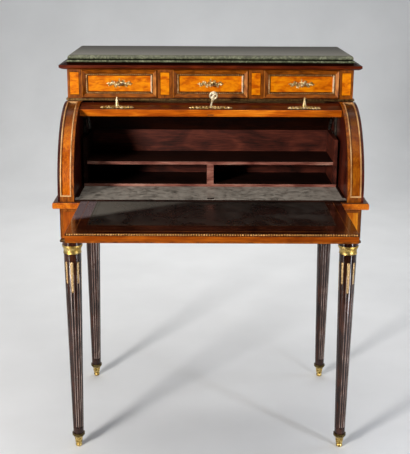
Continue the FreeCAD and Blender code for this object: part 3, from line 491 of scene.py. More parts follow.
def frameShape(width, height, profile, loop=True):
    # a mitred frame on the local XY plane, from (inset, height) points listed from the outside in
    rings = []
    for inset, proud in profile:
        x, y = width / 2 - inset, height / 2 - inset
        rings.append([Vector((*spot, proud)) for spot in ((-x, -y), (x, -y), (x, y), (-x, y))])
    return skin(rings, loop)


def plateShape(width, height, thick, chamfer):
    return frameShape(width, height, ((0, 0), (0, thick - chamfer), (chamfer, thick)), False)


def beadRow(start, stop, pitch, radius):
    count = max(1, int((stop - start).length / pitch))
    return merge([moved(bead(radius), shifted(*start.lerp(stop, (i + 0.5) / count))) for i in range(count)])


def onFace(origin, across, up):
    # local X across the face, Y up it and Z out of it
    turn = Matrix((across, up, across.cross(up))).transposed().to_4x4()
    return Matrix.Translation(origin) @ turn


def faceOf(node, out, lift=0.0, level=None):
    # the upright face that a CAD box turns to one side
    low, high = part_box(node)
    centre = (low + high) / 2
    if out.x:
        centre.x = (low if out.x < 0 else high).x
    else:
        centre.y = (low if out.y < 0 else high).y
    centre.z = (centre.z if level is None else level) + lift
    return onFace(centre, zAxis.cross(out), zAxis)


def boxSize(node):
    low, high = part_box(node)
    return high - low


def makePiece(name, shape, finish, body, place=None, smooth=None, sideFinish=None):
    points, faces = moved(shape, place) if place else shape
    mesh = bpy.data.meshes.new(name)
    mesh.from_pydata([tuple(point) for point in points], [], faces)
    mesh.materials.append(finish)
    shaper = bmesh.new()
    shaper.from_mesh(mesh)
    bmesh.ops.recalc_face_normals(shaper, faces=shaper.faces)
    shaper.to_mesh(mesh)
    shaper.free()
    if sideFinish:  # the upright sides of a mitred frame take upright grain
        mesh.materials.append(sideFinish)
        for face in mesh.polygons:
            face.material_index = face.index % 2
    if smooth:
        mesh.shade_smooth()
        mesh.set_sharp_from_angle(angle=math.radians(smooth))
    piece = addObject(name, mesh)
    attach(piece, body)
    return piece


# Inlaid panel: a sheet of veneer let into a face, with a thin line round it
def inlay(name, place, width, height, look):
    plate = plateShape(width, height, look["proud"], look["proud"] * 0.6)
    makePiece(name + "Panel", plate, look["finish"], "case", place)
    line, proud = look["line"], look["lineProud"]
    edge = [(-line, 0), (-line, proud), (0, proud), (0, 0)]
    makePiece(name + "Line", frameShape(width, height, edge), look["lineFinish"], "case",
              place)


# Drawer fronts: sloping mitred band, beaded gilt fillet, burr panel set back. Profiles are (inset, height) in
# mm; the rubbed one is a painted highlight over the slope of the right slip, the line a painted highlight on
# the crest of the left one
drawerTrim = {"band": [(0.4, 0), (0.4, 2.4), (2.4, 4.6), (10.8, 0.6), (11.6, 0.4), (11.6, 0)],
              "fillet": [(11.6, 0), (11.6, 1.2), (12.2, 1.8), (12.8, 1.2), (14.2, 1.0), (14.2, -0.6)],
              "slip": [(14.2, -0.6), (14.2, 1.6), (14.8, 2.0), (17.6, -3.4), (17.6, -4), (15, -0.6)],
              "worn": (-0.1 * mm, 0.2 * mm), "highlightEnd": 15 * mm, "recess": 4 * mm, "panelInset": 16.8 * mm,
              "panelThick": 1.2 * mm, "panelEdge": 0.8 * mm, "bead": 1.6 * mm, "pitch": 5.4 * mm,
              "beadInset": 13.5 * mm, "beadLift": 0.6 * mm,
              "rubbed": [(14.4, 2.3), (15.0, 2.4), (17.9, -3.1), (17.6, -3.7)],
              "line": [(14.0, 0.6), (14.0, 1.7), (15.0, 2.3), (15.4, 2.2), (15.4, 0.6)]}


def dressDrawer(label):
    node, body = f"drawer_{label}_front", f"drawer_{label}"
    size, place = boxSize(node), faceOf(node, -yAxis)
    width, height = size.x, size.z
    profiles = {name: inMm(drawerTrim[name]) for name in ("band", "fillet", "slip", "rubbed", "line")}
    makePiece(f"drawerBand.{label}", frameShape(width, height, profiles["band"]), bandX, body,
              place, sideFinish=bandZ)
    # painted highlight: paler banding over the slope of the right member and the outer arris of the left one
    worn = []  # the slope of the right member and the outer arris of the left one, as thin veneer over them
    for side, strip in ((1, profiles["band"][2:4]), (-1, profiles["band"][1:3])):
        (x0, y0, z0), (x1, y1, z1) = [(side * (width / 2 - i), height / 2 - i, proud) for i, proud in strip]
        loop = [Vector((x0, -y0, z0)), Vector((x0, y0, z0)), Vector((x1, y1, z1)), Vector((x1, -y1, z1))]
        worn.append(skin([[point + zAxis * lift for point in loop] for lift in drawerTrim["worn"]]))
    makePiece(f"drawerBandHighlight.{label}", merge(worn), highlightBandZ, body, place)
    for name, part in (("drawerFillet", "fillet"), ("drawerSlip", "slip")):
        makePiece(f"{name}.{label}", frameShape(width, height, profiles[part]), agedBrass, body,
                  place)
    tall = height / 2 - drawerTrim["highlightEnd"]
    # both strips are painted highlights: a pale line on the crest of the left slip, pale brass on the slope
    # of the right one
    for name, part, side, finish in (("drawerLine", "line", -1, dullBrass),
                                     ("drawerRightHighlight", "rubbed", 1, slipHighlightBrass)):
        section = [(side * (width / 2 - inset), proud) for inset, proud in profiles[part]]
        shape = skin([[Vector((x, y, z)) for x, z in section] for y in (-tall, tall)])
        makePiece(f"{name}.{label}", shape, finish, body, place)
    x, y = width / 2 - drawerTrim["beadInset"], height / 2 - drawerTrim["beadInset"]
    rows = []
    for end in (-1, 1):
        for start, stop in (((-x, y * end), (x, y * end)), ((x * end, -y), (x * end, y))):
            rows.append(beadRow(Vector((*start, drawerTrim["beadLift"])),
                                Vector((*stop, drawerTrim["beadLift"])), drawerTrim["pitch"],
                                drawerTrim["bead"]))
    makePiece(f"drawerBeads.{label}", merge(rows), dullBrass, body, place, smooth=40)
    inset = 2 * drawerTrim["panelInset"]
    panel = plateShape(width - inset, height - inset, drawerTrim["panelThick"], drawerTrim["panelEdge"])
    makePiece(f"drawerPanel.{label}", panel, burrPanel, body,
              place @ shifted(z=-drawerTrim["recess"]))


for label in drawers:
    dressDrawer(label)
print("drawer fronts dressed")

# Marble slab: a lower bead, a groove, then a quarter round up to the flat top; its back edge is sawn plain
slabProfile = [(3.4, 0), (1.6, 0.6), (0.5, 1.6), (0, 3.0), (0.3, 4.6), (1.4, 6.0), (3.0, 6.9), (7.5, 7.3),
               (7.5, 9.2), (3.4, 9.6), (2.8, 10.8), (2.9, 13.0), (3.5, 15.2), (4.7, 17.2), (6.4, 18.9),
               (8.6, 20.0), (11.0, 20.5)]
low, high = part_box("marble_top")
rings = []
for inset, lift in slabProfile:
    x, y, z = high.x - inset * mm, low.y + inset * mm, low.z + lift * mm
    rings.append([Vector((*spot, z)) for spot in ((-x, y), (x, y), (x, high.y), (-x, high.y))])
slab = makePiece("mouldedSlab", skin(rings), stone, "case", smooth=26)
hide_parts("marble_top")

# Pulls: cast scrolls and leaves spread from a domed rose, which stands out for the fingers. A leaf is
# (length, width, thickness, curl), a stem the (start, loss a step) of its wire, waves (steps, radians a step)
pullTrim = {"reach": 36 * mm, "boss": 5 * mm, "petals": 8, "petal": (7.5 * mm, 4 * mm, 2.4 * mm, 1.5 * mm),
            "petalAt": (2 * mm, 0, 2.4 * mm), "stem": (1.8 * mm, 0.13 * mm), "stemAt": 1.8 * mm,
            "wave": 1.2 * mm, "waves": (8, 0.9), "stemEnds": (0.6, 0.4),
            "scrolls": [(9.4, 5.8, 1), (18.6, 4.8, -1), (26.4, 3.8, 1)],  # place, radius in mm and way up
            "wire": 2.1 * mm, "thin": 0.4, "unroll": (-60, 330), "shrink": 0.55, "rise": (2.4, 1.6),
            "steps": 16, "leafShare": 8 / 5.8, "leafAt": 0.6, "leafLift": 1.6 * mm, "leafWidth": 0.6,
            "leafThick": 3 * mm, "leafCurl": 1.5 * mm, "leafTilts": (100, 55),
            "tip": (11 * mm, 5 * mm, 2.8 * mm, 0.8 * mm), "tipLift": 2 * mm,
            "crest": (8 * mm, 5 * mm, 2.4 * mm, 1.0 * mm), "crestAt": (0, 6 * mm, 1.0 * mm),
            "foot": [(0.9, 0), (1, 2), (0.62, 4)],  # shares of the boss's radius, heights in mm
            "dome": [(0.5, 0.5), (0.8, 0.62), (1, 0.76), (0.86, 0.9), (0.3, 1)]}  # shares of both


def wavyStem(start, stop, trim):
    # the path and the wire sizes of a thinning stem along X
    first, loss = trim["stem"]
    steps, turn = trim["waves"]
    path = [Vector((start + (stop - start) * t / steps, trim["wave"] * math.sin(t * turn), trim["stemAt"]))
            for t in range(steps + 1)]
    return path, [first - loss * t for t in range(steps + 1)]


def pullScroll(x, radius, way):
    start, sweep = pullTrim["unroll"]
    seat, rise = pullTrim["rise"]
    path, sizes = [], []
    for step in range(pullTrim["steps"] + 1):
        t = step / pullTrim["steps"]
        turn = math.radians(start + sweep * t)
        reach = radius * (1 - pullTrim["shrink"] * t)
        path.append(Vector((x + reach * math.cos(turn), way * reach * math.sin(turn), seat + rise * t)) * mm)
        sizes.append(pullTrim["wire"] * (1 - pullTrim["thin"] * t))
    return tube(path, sizes, 8, flat=zAxis)


def dressPull(label):
    low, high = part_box(f"pull_{label}")
    reach, boss, out = pullTrim["reach"], pullTrim["boss"], high.y - low.y
    foot = [(boss * share, height * mm) for share, height in pullTrim["foot"]]
    shapes = [lathe(foot + [(boss * share, out * height) for share, height in pullTrim["dome"]])]
    petal = moved(leaf(*pullTrim["petal"]), shifted(*pullTrim["petalAt"]))
    shapes += [moved(petal, turned(360 * i / pullTrim["petals"])) for i in range(pullTrim["petals"])]
    near, far = pullTrim["stemEnds"]
    half = [tube(*wavyStem(boss * near, reach - boss * far, pullTrim), 8, flat=zAxis)]
    for x, radius, way in pullTrim["scrolls"]:
        half.append(pullScroll(x, radius, way))
        # two leaves spring from the back of each scroll
        size = pullTrim["leafShare"] * radius * mm
        blade = leaf(size, size * pullTrim["leafWidth"], pullTrim["leafThick"], pullTrim["leafCurl"])
        seat = shifted(x * mm, way * radius * pullTrim["leafAt"] * mm, pullTrim["leafLift"])
        half += [moved(blade, seat @ turned(way * tilt)) for tilt in pullTrim["leafTilts"]]
    tip = pullTrim["tip"]
    half.append(moved(leaf(*tip), shifted(reach - tip[0], 0, pullTrim["tipLift"])))
    for turn in (0, 180):
        shapes += [moved(shape, turned(turn)) for shape in half]
    shapes.append(moved(leaf(*pullTrim["crest"]), shifted(*pullTrim["crestAt"]) @ turned(90)))
    pull = makePiece(f"foliatePull.{label}", merge(shapes), castGilt, f"drawer_{label}",
                     faceOf(f"pull_{label}", -yAxis) @ shifted(z=-out), smooth=50)
    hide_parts(f"pull_{label}")


for label in drawers:
    dressPull(label)
print("pulls made")

# Stiles and ends of the drawer tier: small upright burr panels, long ones on the ends' sides
stileLook = {"proud": 0.5 * mm, "finish": burrPanel, "line": 0.9 * mm, "lineProud": 0.35 * mm,
             "lineFinish": stainedZ, "lineSlot": "dark_mahogany"}
endLook = dict(stileLook, finish=veneerY)
stileTrim = {"width": 24 * mm, "height": 60 * mm, "endLift": 3 * mm, "sideLift": 2.5 * mm,
             "sideHeight": 58 * mm, "sideMargin": 40 * mm}
for name in ("end_left", "divider_left", "divider_right", "end_right"):
    lift = stileTrim["endLift"] if "end" in name else 0
    inlay(f"stile.{name}", faceOf(f"tier_{name}", -yAxis, lift), stileTrim["width"], stileTrim["height"],
          stileLook)
for side, out in sides.items():
    node = f"tier_end_{side}"
    inlay(f"tierSide.{side}", faceOf(node, xAxis * out, stileTrim["sideLift"]),
          boxSize(node).y - stileTrim["sideMargin"], stileTrim["sideHeight"], endLook)
print("tier inlaid")

# Cheeks: curved front edge with a long veneer panel in a gilt fillet, and a panel on each flat side
cheekTrim = {"outerBand": 6.5 * mm, "innerBand": 7.0 * mm, "foot": 13 * mm, "fillet": 4.6 * mm,
             "band": 3.4 * mm, "panel": 0.2 * mm, "line": 3.2 * mm, "lead": -0.055, "tail": 1.03,
             "cap": 0.011, "arc": math.radians(86), "sunk": -0.3 * mm, "sideInset": 24 * mm,
             "string": 1.8 * mm, "rows": 40, "chamfer": 0.4 * mm, "curveSteps": 24, "sideSunk": -0.2 * mm,
             "sideProud": 0.5 * mm, "stringProud": 0.9 * mm}
cheekLow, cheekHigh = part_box("cheek_left")
pinRadius = 5 * mm
hubY, hubZ = [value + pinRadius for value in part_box("pivot_pins")[0].yz]
cheekRadius = hubY - cheekLow.y


def cheekFront(t, proud):
    # a point up the cheek's front edge: straight foot, then the curve
    foot = hubZ - cheekLow.z - cheekTrim["foot"]
    along = t * (foot + cheekRadius * cheekTrim["arc"])
    if along < foot:
        return cheekLow.y - proud, cheekLow.z + cheekTrim["foot"] + along
    a = (along - foot) / cheekRadius
    reach = cheekRadius + proud
    return hubY - reach * math.cos(a), hubZ + reach * math.sin(a)


def cheekStrip(x0, x1, proud, start=0.0, stop=1.0):
    lift = min(cheekTrim["chamfer"], abs(x1 - x0) / 4)
    step = lift if x1 > x0 else -lift
    section = [(x0, cheekTrim["sunk"]), (x0, proud - lift), (x0 + step, proud), (x1 - step, proud),
               (x1, proud - lift), (x1, cheekTrim["sunk"])]
    heights = [start + (stop - start) * row / cheekTrim["rows"] for row in range(cheekTrim["rows"] + 1)]
    return skin([[Vector((x, *cheekFront(t, high))) for x, high in section] for t in heights])


def cheekOutline(inset, x):
    points = [(cheekHigh.y - inset, cheekLow.z + inset), (cheekLow.y + inset, cheekLow.z + inset)]
    reach = cheekRadius - inset
    for step in range(cheekTrim["curveSteps"] + 1):
        a = math.radians(90 * step / cheekTrim["curveSteps"])
        points.append((hubY - reach * math.cos(a), hubZ + reach * math.sin(a)))
    points.append((cheekHigh.y - inset, cheekHigh.z - inset))
    return [Vector((x, y, z)) for y, z in points]


for side, out in sides.items():
    inner, outer = sorted((corner.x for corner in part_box(f"cheek_{side}")), key=abs)
    a, b = outer - out * cheekTrim["outerBand"], inner + out * cheekTrim["innerBand"]
    fillet, band, wide = cheekTrim["fillet"], cheekTrim["band"], cheekTrim["line"]
    lead, tail, cap = cheekTrim["lead"], cheekTrim["tail"], cheekTrim["cap"]
    # the right cheek's panel takes the darker copy, painted shade
    makePiece(f"cheekPanel.{side}", cheekStrip(a, b, cheekTrim["panel"]), cheekZ if out < 0 else shadedRightZ,
              "case", smooth=30)
    makePiece(f"cheekRim.{side}", cheekStrip(outer, a, band, lead, tail), redZ, "case", smooth=30)
    bands = [cheekStrip(b, inner, band, lead, tail), cheekStrip(a, b, band, lead, 0.0)]
    makePiece(f"cheekBand.{side}", merge(bands), bandZ, "case", smooth=30)
    edges = [cheekStrip(a, a - out * wide, fillet), cheekStrip(b, b + out * wide, fillet),
             cheekStrip(a, b, fillet, 0.0, cap), cheekStrip(a, b, fillet, 1 - cap, 1.0)]
    makePiece(f"cheekFillet.{side}", merge(edges), drawnBrass, "case", smooth=40)
    inset, string, sunk = [cheekTrim[part] for part in ("sideInset", "string", "sideSunk")]
    flat = [cheekOutline(inset, outer + out * lift) for lift in (sunk, cheekTrim["sideProud"])]
    makePiece(f"cheekSide.{side}", skin(flat), veneerZ, "case")
    proud = cheekTrim["stringProud"]
    edge = ((0, sunk), (0, proud), (string, proud), (string, sunk))
    ring = [cheekOutline(inset - width, outer + out * lift) for width, lift in edge]
    makePiece(f"cheekString.{side}", skin(ring, loop=True), drawnBrass, "case")
print("cheeks dressed")

# Apron and leg heads: veneer panels, with gilt lines on the apron and banding on the heads
apronLook = {"proud": 0.5 * mm, "finish": veneerX, "line": 1.6 * mm, "lineProud": 0.9 * mm,
             "lineFinish": gilt, "lineSlot": "gilt_brass"}
headLook = dict(apronLook, finish=veneerZ, line=6.4 * mm, lineProud=0.3 * mm, lineFinish=bandZ,
                lineSlot="mahogany")
apronTrim = {"margin": 30 * mm, "height": 60 * mm, "lift": 3 * mm, "headWidth": 34 * mm,
             "headHeight": 64 * mm, "headLift": 4 * mm}
margin, tall, lift = [apronTrim[part] for part in ("margin", "height", "lift")]
inlay("apronFront", faceOf("apron_front", -yAxis, lift), boxSize("apron_front").x - margin, tall, apronLook)
for side, out in sides.items():
    node = f"apron_{side}"
    inlay(f"apronSide.{side}", faceOf(node, xAxis * out, lift), boxSize(node).y - margin, tall,
          dict(apronLook, finish=veneerY))
apronLow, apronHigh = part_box("apron_left")
level = (apronLow.z + apronHigh.z) / 2 + apronTrim["headLift"]
for end, front in ends.items():
    for side, out in sides.items():
        # the front heads take the painted-shade copy on the left and the painted-light copy on the right
        face = dict(headLook, finish={"left": shadedHeadZ, "right": litHeadZ}[side]) if end == "front" else headLook
        for name, towards, look in (("head", yAxis * front, face), ("headSide", xAxis * out, headLook)):
            inlay(f"{name}.{end}.{side}", faceOf(f"leg_{end}_{side}", towards, level=level),
                  apronTrim["headWidth"], apronTrim["headHeight"], look)
print("apron and leg heads inlaid")

# Legs: gilt husk drops in the flutes, alternately long and short; pale painted highlights on some arrises
husk = {"top": 535 * mm, "long": 84 * mm, "short": 60 * mm, "flutes": 8, "half": 4.9 * mm, "rise": 2.0 * mm,
        "depth": 1.7 * mm, "husks": 7, "pinch": 0.22, "taper": 0.34, "steps": 30, "endSize": 0.4}
legTaper = {"low": 41 * mm, "high": 536 * mm, "foot": 14 * mm, "top": 22.5 * mm}
arris = {"low": 62 * mm, "high": 500 * mm, "footTurn": math.radians(11.5), "topTurn": math.radians(10.4),
         "radius": 0.75 * mm, "sunk": 0.35 * mm,
         "edges": (12, 13, 14, 15)}  # even and odd are a flute's two edges


def legRadius(z):
    share = (z - legTaper["low"]) / (legTaper["high"] - legTaper["low"])
    return legTaper["foot"] + (legTaper["top"] - legTaper["foot"]) * share


def arrisTube(edge):
    path = []
    for t in (0, 0.5, 1):
        z = arris["low"] + (arris["high"] - arris["low"]) * t
        half = arris["footTurn"] + (arris["topTurn"] - arris["footTurn"]) * t
        turn = 2 * math.pi * (edge // 2) / husk["flutes"] + (half if edge % 2 else -half)
        reach = legRadius(z) - arris["sunk"]
        path.append(Vector((reach * math.cos(turn), reach * math.sin(turn), z)))
    return tube(path, arris["radius"], 8)


def huskDrop(flute):
    c, s = circle(husk["flutes"])[flute]
    radial, tangent = Vector((c, s, 0)), Vector((-s, c, 0))
    rings = []
    for step in range(husk["steps"] + 1):
        t = step / husk["steps"]
        z = husk["top"] - husk["short" if flute % 2 else "long"] * t
        size = 1 - husk["pinch"] + husk["pinch"] * abs(math.sin(math.pi * husk["husks"] * t))
        size *= (1 - husk["taper"] * t) * (husk["endSize"] if step in (0, husk["steps"]) else 1)
        seat = radial * (legRadius(z) - husk["depth"]) + zAxis * z
        half, rise = husk["half"] * size, husk["rise"] * size
        rings.append([seat + tangent * half * a + radial * rise * b for a, b in circle(10)])
    return skin(rings)


for end in ends:
    for side in sides:
        low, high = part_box(f"leg_{end}_{side}")
        place = shifted((low.x + high.x) / 2, (low.y + high.y) / 2)
        # pale painted highlights along the front and front-right arrises
        makePiece(f"legArrisHighlights.{end}.{side}", merge([arrisTube(edge) for edge in arris["edges"]]), arrisHighlightZ,
                  "case", place, smooth=60)
        makePiece(f"legHusks.{end}.{side}", merge([huskDrop(flute) for flute in range(husk["flutes"])]),
                  huskGilt, "case", place, smooth=60)
print("legs dressed")

# Writing slide: pale edge, gilt beads along its front, gold tooling on the hide, a pale string in the border
slideTrim = {"drop": 5.6 * mm, "deep": 11 * mm, "lipping": 0.8 * mm, "edge": 0.5 * mm, "strip": 5.4 * mm,
             "foot": 4.4 * mm, "inlay": 0.3 * mm, "inlayEdge": 0.2 * mm, "bead": 2.5 * mm,
             "beadDrop": 1.9 * mm, "pitch": 5.8 * mm, "beadEnd": 2 * mm, "string": (20 * mm, 0.6 * mm),
             "outer": (2 * mm, 0.9 * mm), "inner": (9 * mm, 0.5 * mm), "sunk": -0.1 * mm,
             "proud": 0.12 * mm}  # lines are (inset, width)
low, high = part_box("slide_board")
width, depth, edgeHeight = high - low
drop, deep, thick = [slideTrim[part] for part in ("drop", "deep", "lipping")]
front, foot = low.y - thick, edgeHeight + drop
# the lip's section: back from the board's edge, down from its top
lip = [(0, 0), (-thick, 0.4 * mm), (-thick, foot - 1.6 * mm), (0.6 * mm, foot), (deep, foot),
       (deep, edgeHeight - 0.2 * mm), (0.5 * mm, edgeHeight - 0.2 * mm)]
lipRings = [[Vector((x, low.y + y, high.z - z)) for y, z in lip] for x in (low.x, high.x)]
makePiece("slideLipping", skin(lipRings), lippingX, "writing_slide")
for side, out in sides.items():
    plate = plateShape(depth, edgeHeight, slideTrim["edge"], 0.8 * slideTrim["edge"])
    makePiece(f"slideEdge.{side}", plate, lippingY, "writing_slide",
              faceOf("slide_board", xAxis * out))
frontLines = (("slideStrip", "strip", high.z - slideTrim["strip"] / 2, stainedZ, "dark_mahogany"),
              ("slideFoot", "foot", low.z - drop + slideTrim["foot"] / 2, bandX, "mahogany"))
for name, part, level, finish, slot in frontLines:
    plate = plateShape(width, slideTrim[part], slideTrim["inlay"], slideTrim["inlayEdge"])
    makePiece(name, plate, finish, "writing_slide", onFace(Vector((0, front, level)), xAxis, zAxis))
row = width - 2 * slideTrim["beadEnd"]
count = int(row / slideTrim["pitch"])
beads = []
for i in range(count):
    x = low.x + slideTrim["beadEnd"] + (i + 0.5) * row / count
    place = shifted(x, front, high.z - slideTrim["beadDrop"]) @ turned(90, "X")
    beads.append(moved(bead(slideTrim["bead"]), place))
makePiece("slideBeads", merge(beads), beadGilt, "writing_slide", smooth=40)


def surfaceLine(name, node, part, finish):
    # a thin line round the top of a CAD box
    low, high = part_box(node)
    inset, line = slideTrim[part]
    sunk, proud = slideTrim["sunk"], slideTrim["proud"]
    edge = [(inset, sunk), (inset, proud), (inset + line, proud), (inset + line, sunk)]
    place = onFace(Vector((0, (low.y + high.y) / 2, high.z)), xAxis, yAxis)
    makePiece(name, frameShape(high.x - low.x, high.y - low.y, edge), finish, "writing_slide", place)


for part in ("outer", "inner"):
    surfaceLine(f"slideTooling.{part}", "slide_leather", part, darkBrass)
surfaceLine("slideString", "slide_board", "string", bandX)
print("slide dressed")

# Writing bed: its hide is carried over the front border, clear of the bolt's slot
bedTrim = {"slot": 9 * mm, "beforeSlot": 8.6 * mm, "thick": 0.2 * mm}
low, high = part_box("writing_bed")
slot, across = bedTrim["slot"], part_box("bed_leather")[0].y - low.y
strips = []
for x0, x1, deep in ((low.x, -slot, across), (-slot, slot, bedTrim["beforeSlot"]), (slot, high.x, across)):
    top = onFace(Vector(((x0 + x1) / 2, low.y + deep / 2, high.z)), xAxis, yAxis)
    strips.append(moved(plateShape(x1 - x0, deep, bedTrim["thick"], bedTrim["thick"] / 2), top))
makePiece("bedEdge", merge(strips), bedHide, "case")

# Pigeonhole unit: rubbed front edges
unitTrim = {"thick": 0.5 * mm, "chamfer": 0.4 * mm}
edges = []
for node in ("unit_shelf", "unit_floor_board", "unit_divider"):
    size = boxSize(node)
    edges.append(moved(plateShape(size.x, size.z, unitTrim["thick"], unitTrim["chamfer"]),
                       faceOf(node, -yAxis)))
makePiece("unitEdges", merge(edges), rubbedX, "case")
print("bed and unit dressed")

# Lid rail: the brighter, painted-light copy of the lipping on its leading edge, with a slot that lets the
# bolt out, and a rounded arris
lidTrim = {"open": math.radians(17), "middle": math.radians(11.5), "radius": 202 * mm, "inner": 184 * mm,
           "lipping": 0.8 * mm, "chamfer": 0.05 * mm, "arris": 1.4 * mm, "sunk": 0.4 * mm,
           "slot": (185.9 * mm, 190.9 * mm), "boltGap": 0.3 * mm}
hub = Vector((0, hubY, hubZ))


def lidRadial(angle):
    return Vector((0, -math.sin(angle), math.cos(angle)))


def onLid(x=0.0):
    # on the outside of the lid, at the middle of its rail
    radial = lidRadial(lidTrim["middle"])
    return onFace(hub + xAxis * x + radial * lidTrim["radius"], xAxis, radial.cross(xAxis))


railLow, railHigh = [corner.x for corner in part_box("cylinder_rail")]
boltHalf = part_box("lock_bolt")[1].x + lidTrim["boltGap"]
radial = lidRadial(lidTrim["open"])
railInner, railOuter, (slotLow, slotHigh) = [lidTrim[part] for part in ("inner", "radius", "slot")]
lengths = []
for x0, x1, inner, outer in ((railLow, -boltHalf, railInner, railOuter),
                             (boltHalf, railHigh, railInner, railOuter),
                             (-boltHalf, boltHalf, railInner, slotLow),
                             (-boltHalf, boltHalf, slotHigh, railOuter)):
    seat = hub + xAxis * (x0 + x1) / 2 + radial * (inner + outer) / 2
    lengths.append(moved(plateShape(x1 - x0, outer - inner, lidTrim["lipping"], lidTrim["chamfer"]),
                         onFace(seat, xAxis, radial)))
makePiece("railLipping", merge(lengths), litLeadingX, "cylinder")
railEdge = hub + radial * (railOuter - lidTrim["sunk"])
path = [railEdge + xAxis * x for x in (railLow, railLow / 3, railHigh / 3, railHigh)]
makePiece("railArris", tube(path, lidTrim["arris"], 12), litLeadingX, "cylinder", smooth=40)
print("lid edged")

# Lid mounts: rows of cast leaf tufts each side of a rose. Side and lock hold the reach and the rose's radius
mountTrim = {"side": (44 * mm, 6 * mm), "lock": (57 * mm, 5.4 * mm), "drop": 6 * mm, "pitch": 8.8 * mm,
             "first": 0.62, "shrink": 0.05, "leaf": 9.2 * mm, "leafWidth": 0.62, "thick": 5.2 * mm,
             "curl": 1.4 * mm, "tilts": (64, 116, -64, -116), "seat": 0.2 * mm, "bead": 2.8 * mm,
             "beadSeat": 2.0 * mm, "tip": (9 * mm, 5 * mm, 3 * mm, 0.6 * mm), "stem": (1.5 * mm, 0.12 * mm),
             "stemAt": 0.7 * mm, "wave": 0.8 * mm, "waves": (6, 1.7),
             "rose": [(1.25, -0.2), (1.3, 1.2), (1.05, 2.2), (1.0, 1.4)]}  # shares of radius, mm up


def leafSpray(reach, rose):
    seat, tip, half = mountTrim["seat"], mountTrim["tip"], []
    for tuft in range(int((reach - rose) / mountTrim["pitch"])):
        x = rose + mountTrim["pitch"] * (tuft + mountTrim["first"])
        size = 1 - mountTrim["shrink"] * tuft
        blade = leaf(mountTrim["leaf"] * size, mountTrim["leaf"] * mountTrim["leafWidth"] * size,
                     mountTrim["thick"] * size, mountTrim["curl"])
        half += [moved(blade, shifted(x, 0, seat) @ turned(tilt)) for tilt in mountTrim["tilts"]]
        half.append(moved(bead(mountTrim["bead"] * size), shifted(x, 0, mountTrim["beadSeat"])))
    half.append(moved(leaf(*tip), shifted(reach - tip[0], 0, seat)))
    half.append(tube(*wavyStem(rose, reach, mountTrim), 8))
    shapes = [lathe([(rose * share, height * mm) for share, height in mountTrim["rose"]], 20)]
    for turn in (0, 180):
        place = shifted(0, -mountTrim["drop"]) @ turned(turn)
        shapes += [moved(shape, place) for shape in half]
    return merge(shapes)


knobLow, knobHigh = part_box("knob_right")
knobX = (knobLow.x + knobHigh.x) / 2
sprays = [moved(leafSpray(*mountTrim[part]), onLid(x))
          for part, x in (("side", -knobX), ("lock", 0), ("side", knobX))]
mounts = makePiece("lidMounts", merge(sprays), castGilt, "cylinder", smooth=50)
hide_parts("cylinder_mounts")

# Knobs: slim turned finials, as (radius, height) in mm
knobTrim = [(6.2, 0), (6.8, 0.8), (6.8, 2.2), (5.8, 3.0), (6.2, 4.2), (5.7, 6), (4.9, 9), (4.0, 13),
            (3.1, 17), (2.4, 20.5), (1.9, 22), (2.7, 23.2), (2.9, 24.6), (2.4, 26.2), (1.4, 28), (0.5, 29)]
for side, out in sides.items():
    knob = makePiece(f"finialKnob.{side}", lathe(inMm(knobTrim)), castGilt, "cylinder",
                     onLid(out * knobX), smooth=50)
    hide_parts(f"knob_{side}")

# Key: round bow pierced by two eyes, with a solid web over and under them, and a collared shank.
# The shank is (radius, height), the web (place, radius), both in mm
keyTrim = {"lean": 12, "stand": 24 * mm, "eye": 4.1 * mm, "rim": 9.4 * mm, "wire": 2.1 * mm, "rimWire": 1.05,
           "eyeGap": 0.4, "webFall": 0.16,
           "shank": [(2.2, -11), (2.4, -10.4), (2.4, 4), (3.6, 4.6), (3.6, 6.0), (2.4, 6.6), (2.2, 17),
                     (3.4, 18), (4.0, 19.4), (3.2, 20.8), (2.6, 22), (3.0, 25.4), (1.0, 26.4)],
           "bit": (5 * mm, 4 * mm, 1.8 * mm, 0.3 * mm), "bitAt": (2.6 * mm, 0.9 * mm, -9 * mm),
           "webLift": 6.6 * mm, "web": [(-4, 1.2), (-2, 2.0), (0, 2.4), (2, 2.0), (4, 1.2)]}


def keyRing(radius, x, wire, count):
    centre = Vector((x, 0, keyTrim["stand"] + keyTrim["rim"]))
    return tube([centre + Vector((radius * c, 0, radius * s)) for c, s in circle(count)], wire, 10, True)


eye, rim, wire, stand = [keyTrim[part] for part in ("eye", "rim", "wire", "stand")]
web, webLift, webFall = inMm(keyTrim["web"]), keyTrim["webLift"], keyTrim["webFall"]
shapes = [lathe(inMm(keyTrim["shank"])),
          moved(plateShape(*keyTrim["bit"]), shifted(*keyTrim["bitAt"]) @ turned(90, "X"))]
shapes += [keyRing(eye, sign * (eye + wire * keyTrim["eyeGap"]), wire, 28) for sign in (-1, 1)]
shapes.append(keyRing(rim, 0, wire * keyTrim["rimWire"], 36))
for lift in (-1, 1):
    path = [Vector((x, 0, stand + rim + lift * (webLift - abs(x) * webFall))) for x, size in web]
    shapes.append(tube(path, [size for x, size in web], 10))
key = makePiece("deskKey", merge(shapes), keySteel, "key", onLid() @ turned(keyTrim["lean"], "Y"),
                smooth=50)
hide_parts("key")
print("lid mounts, knobs and key made")

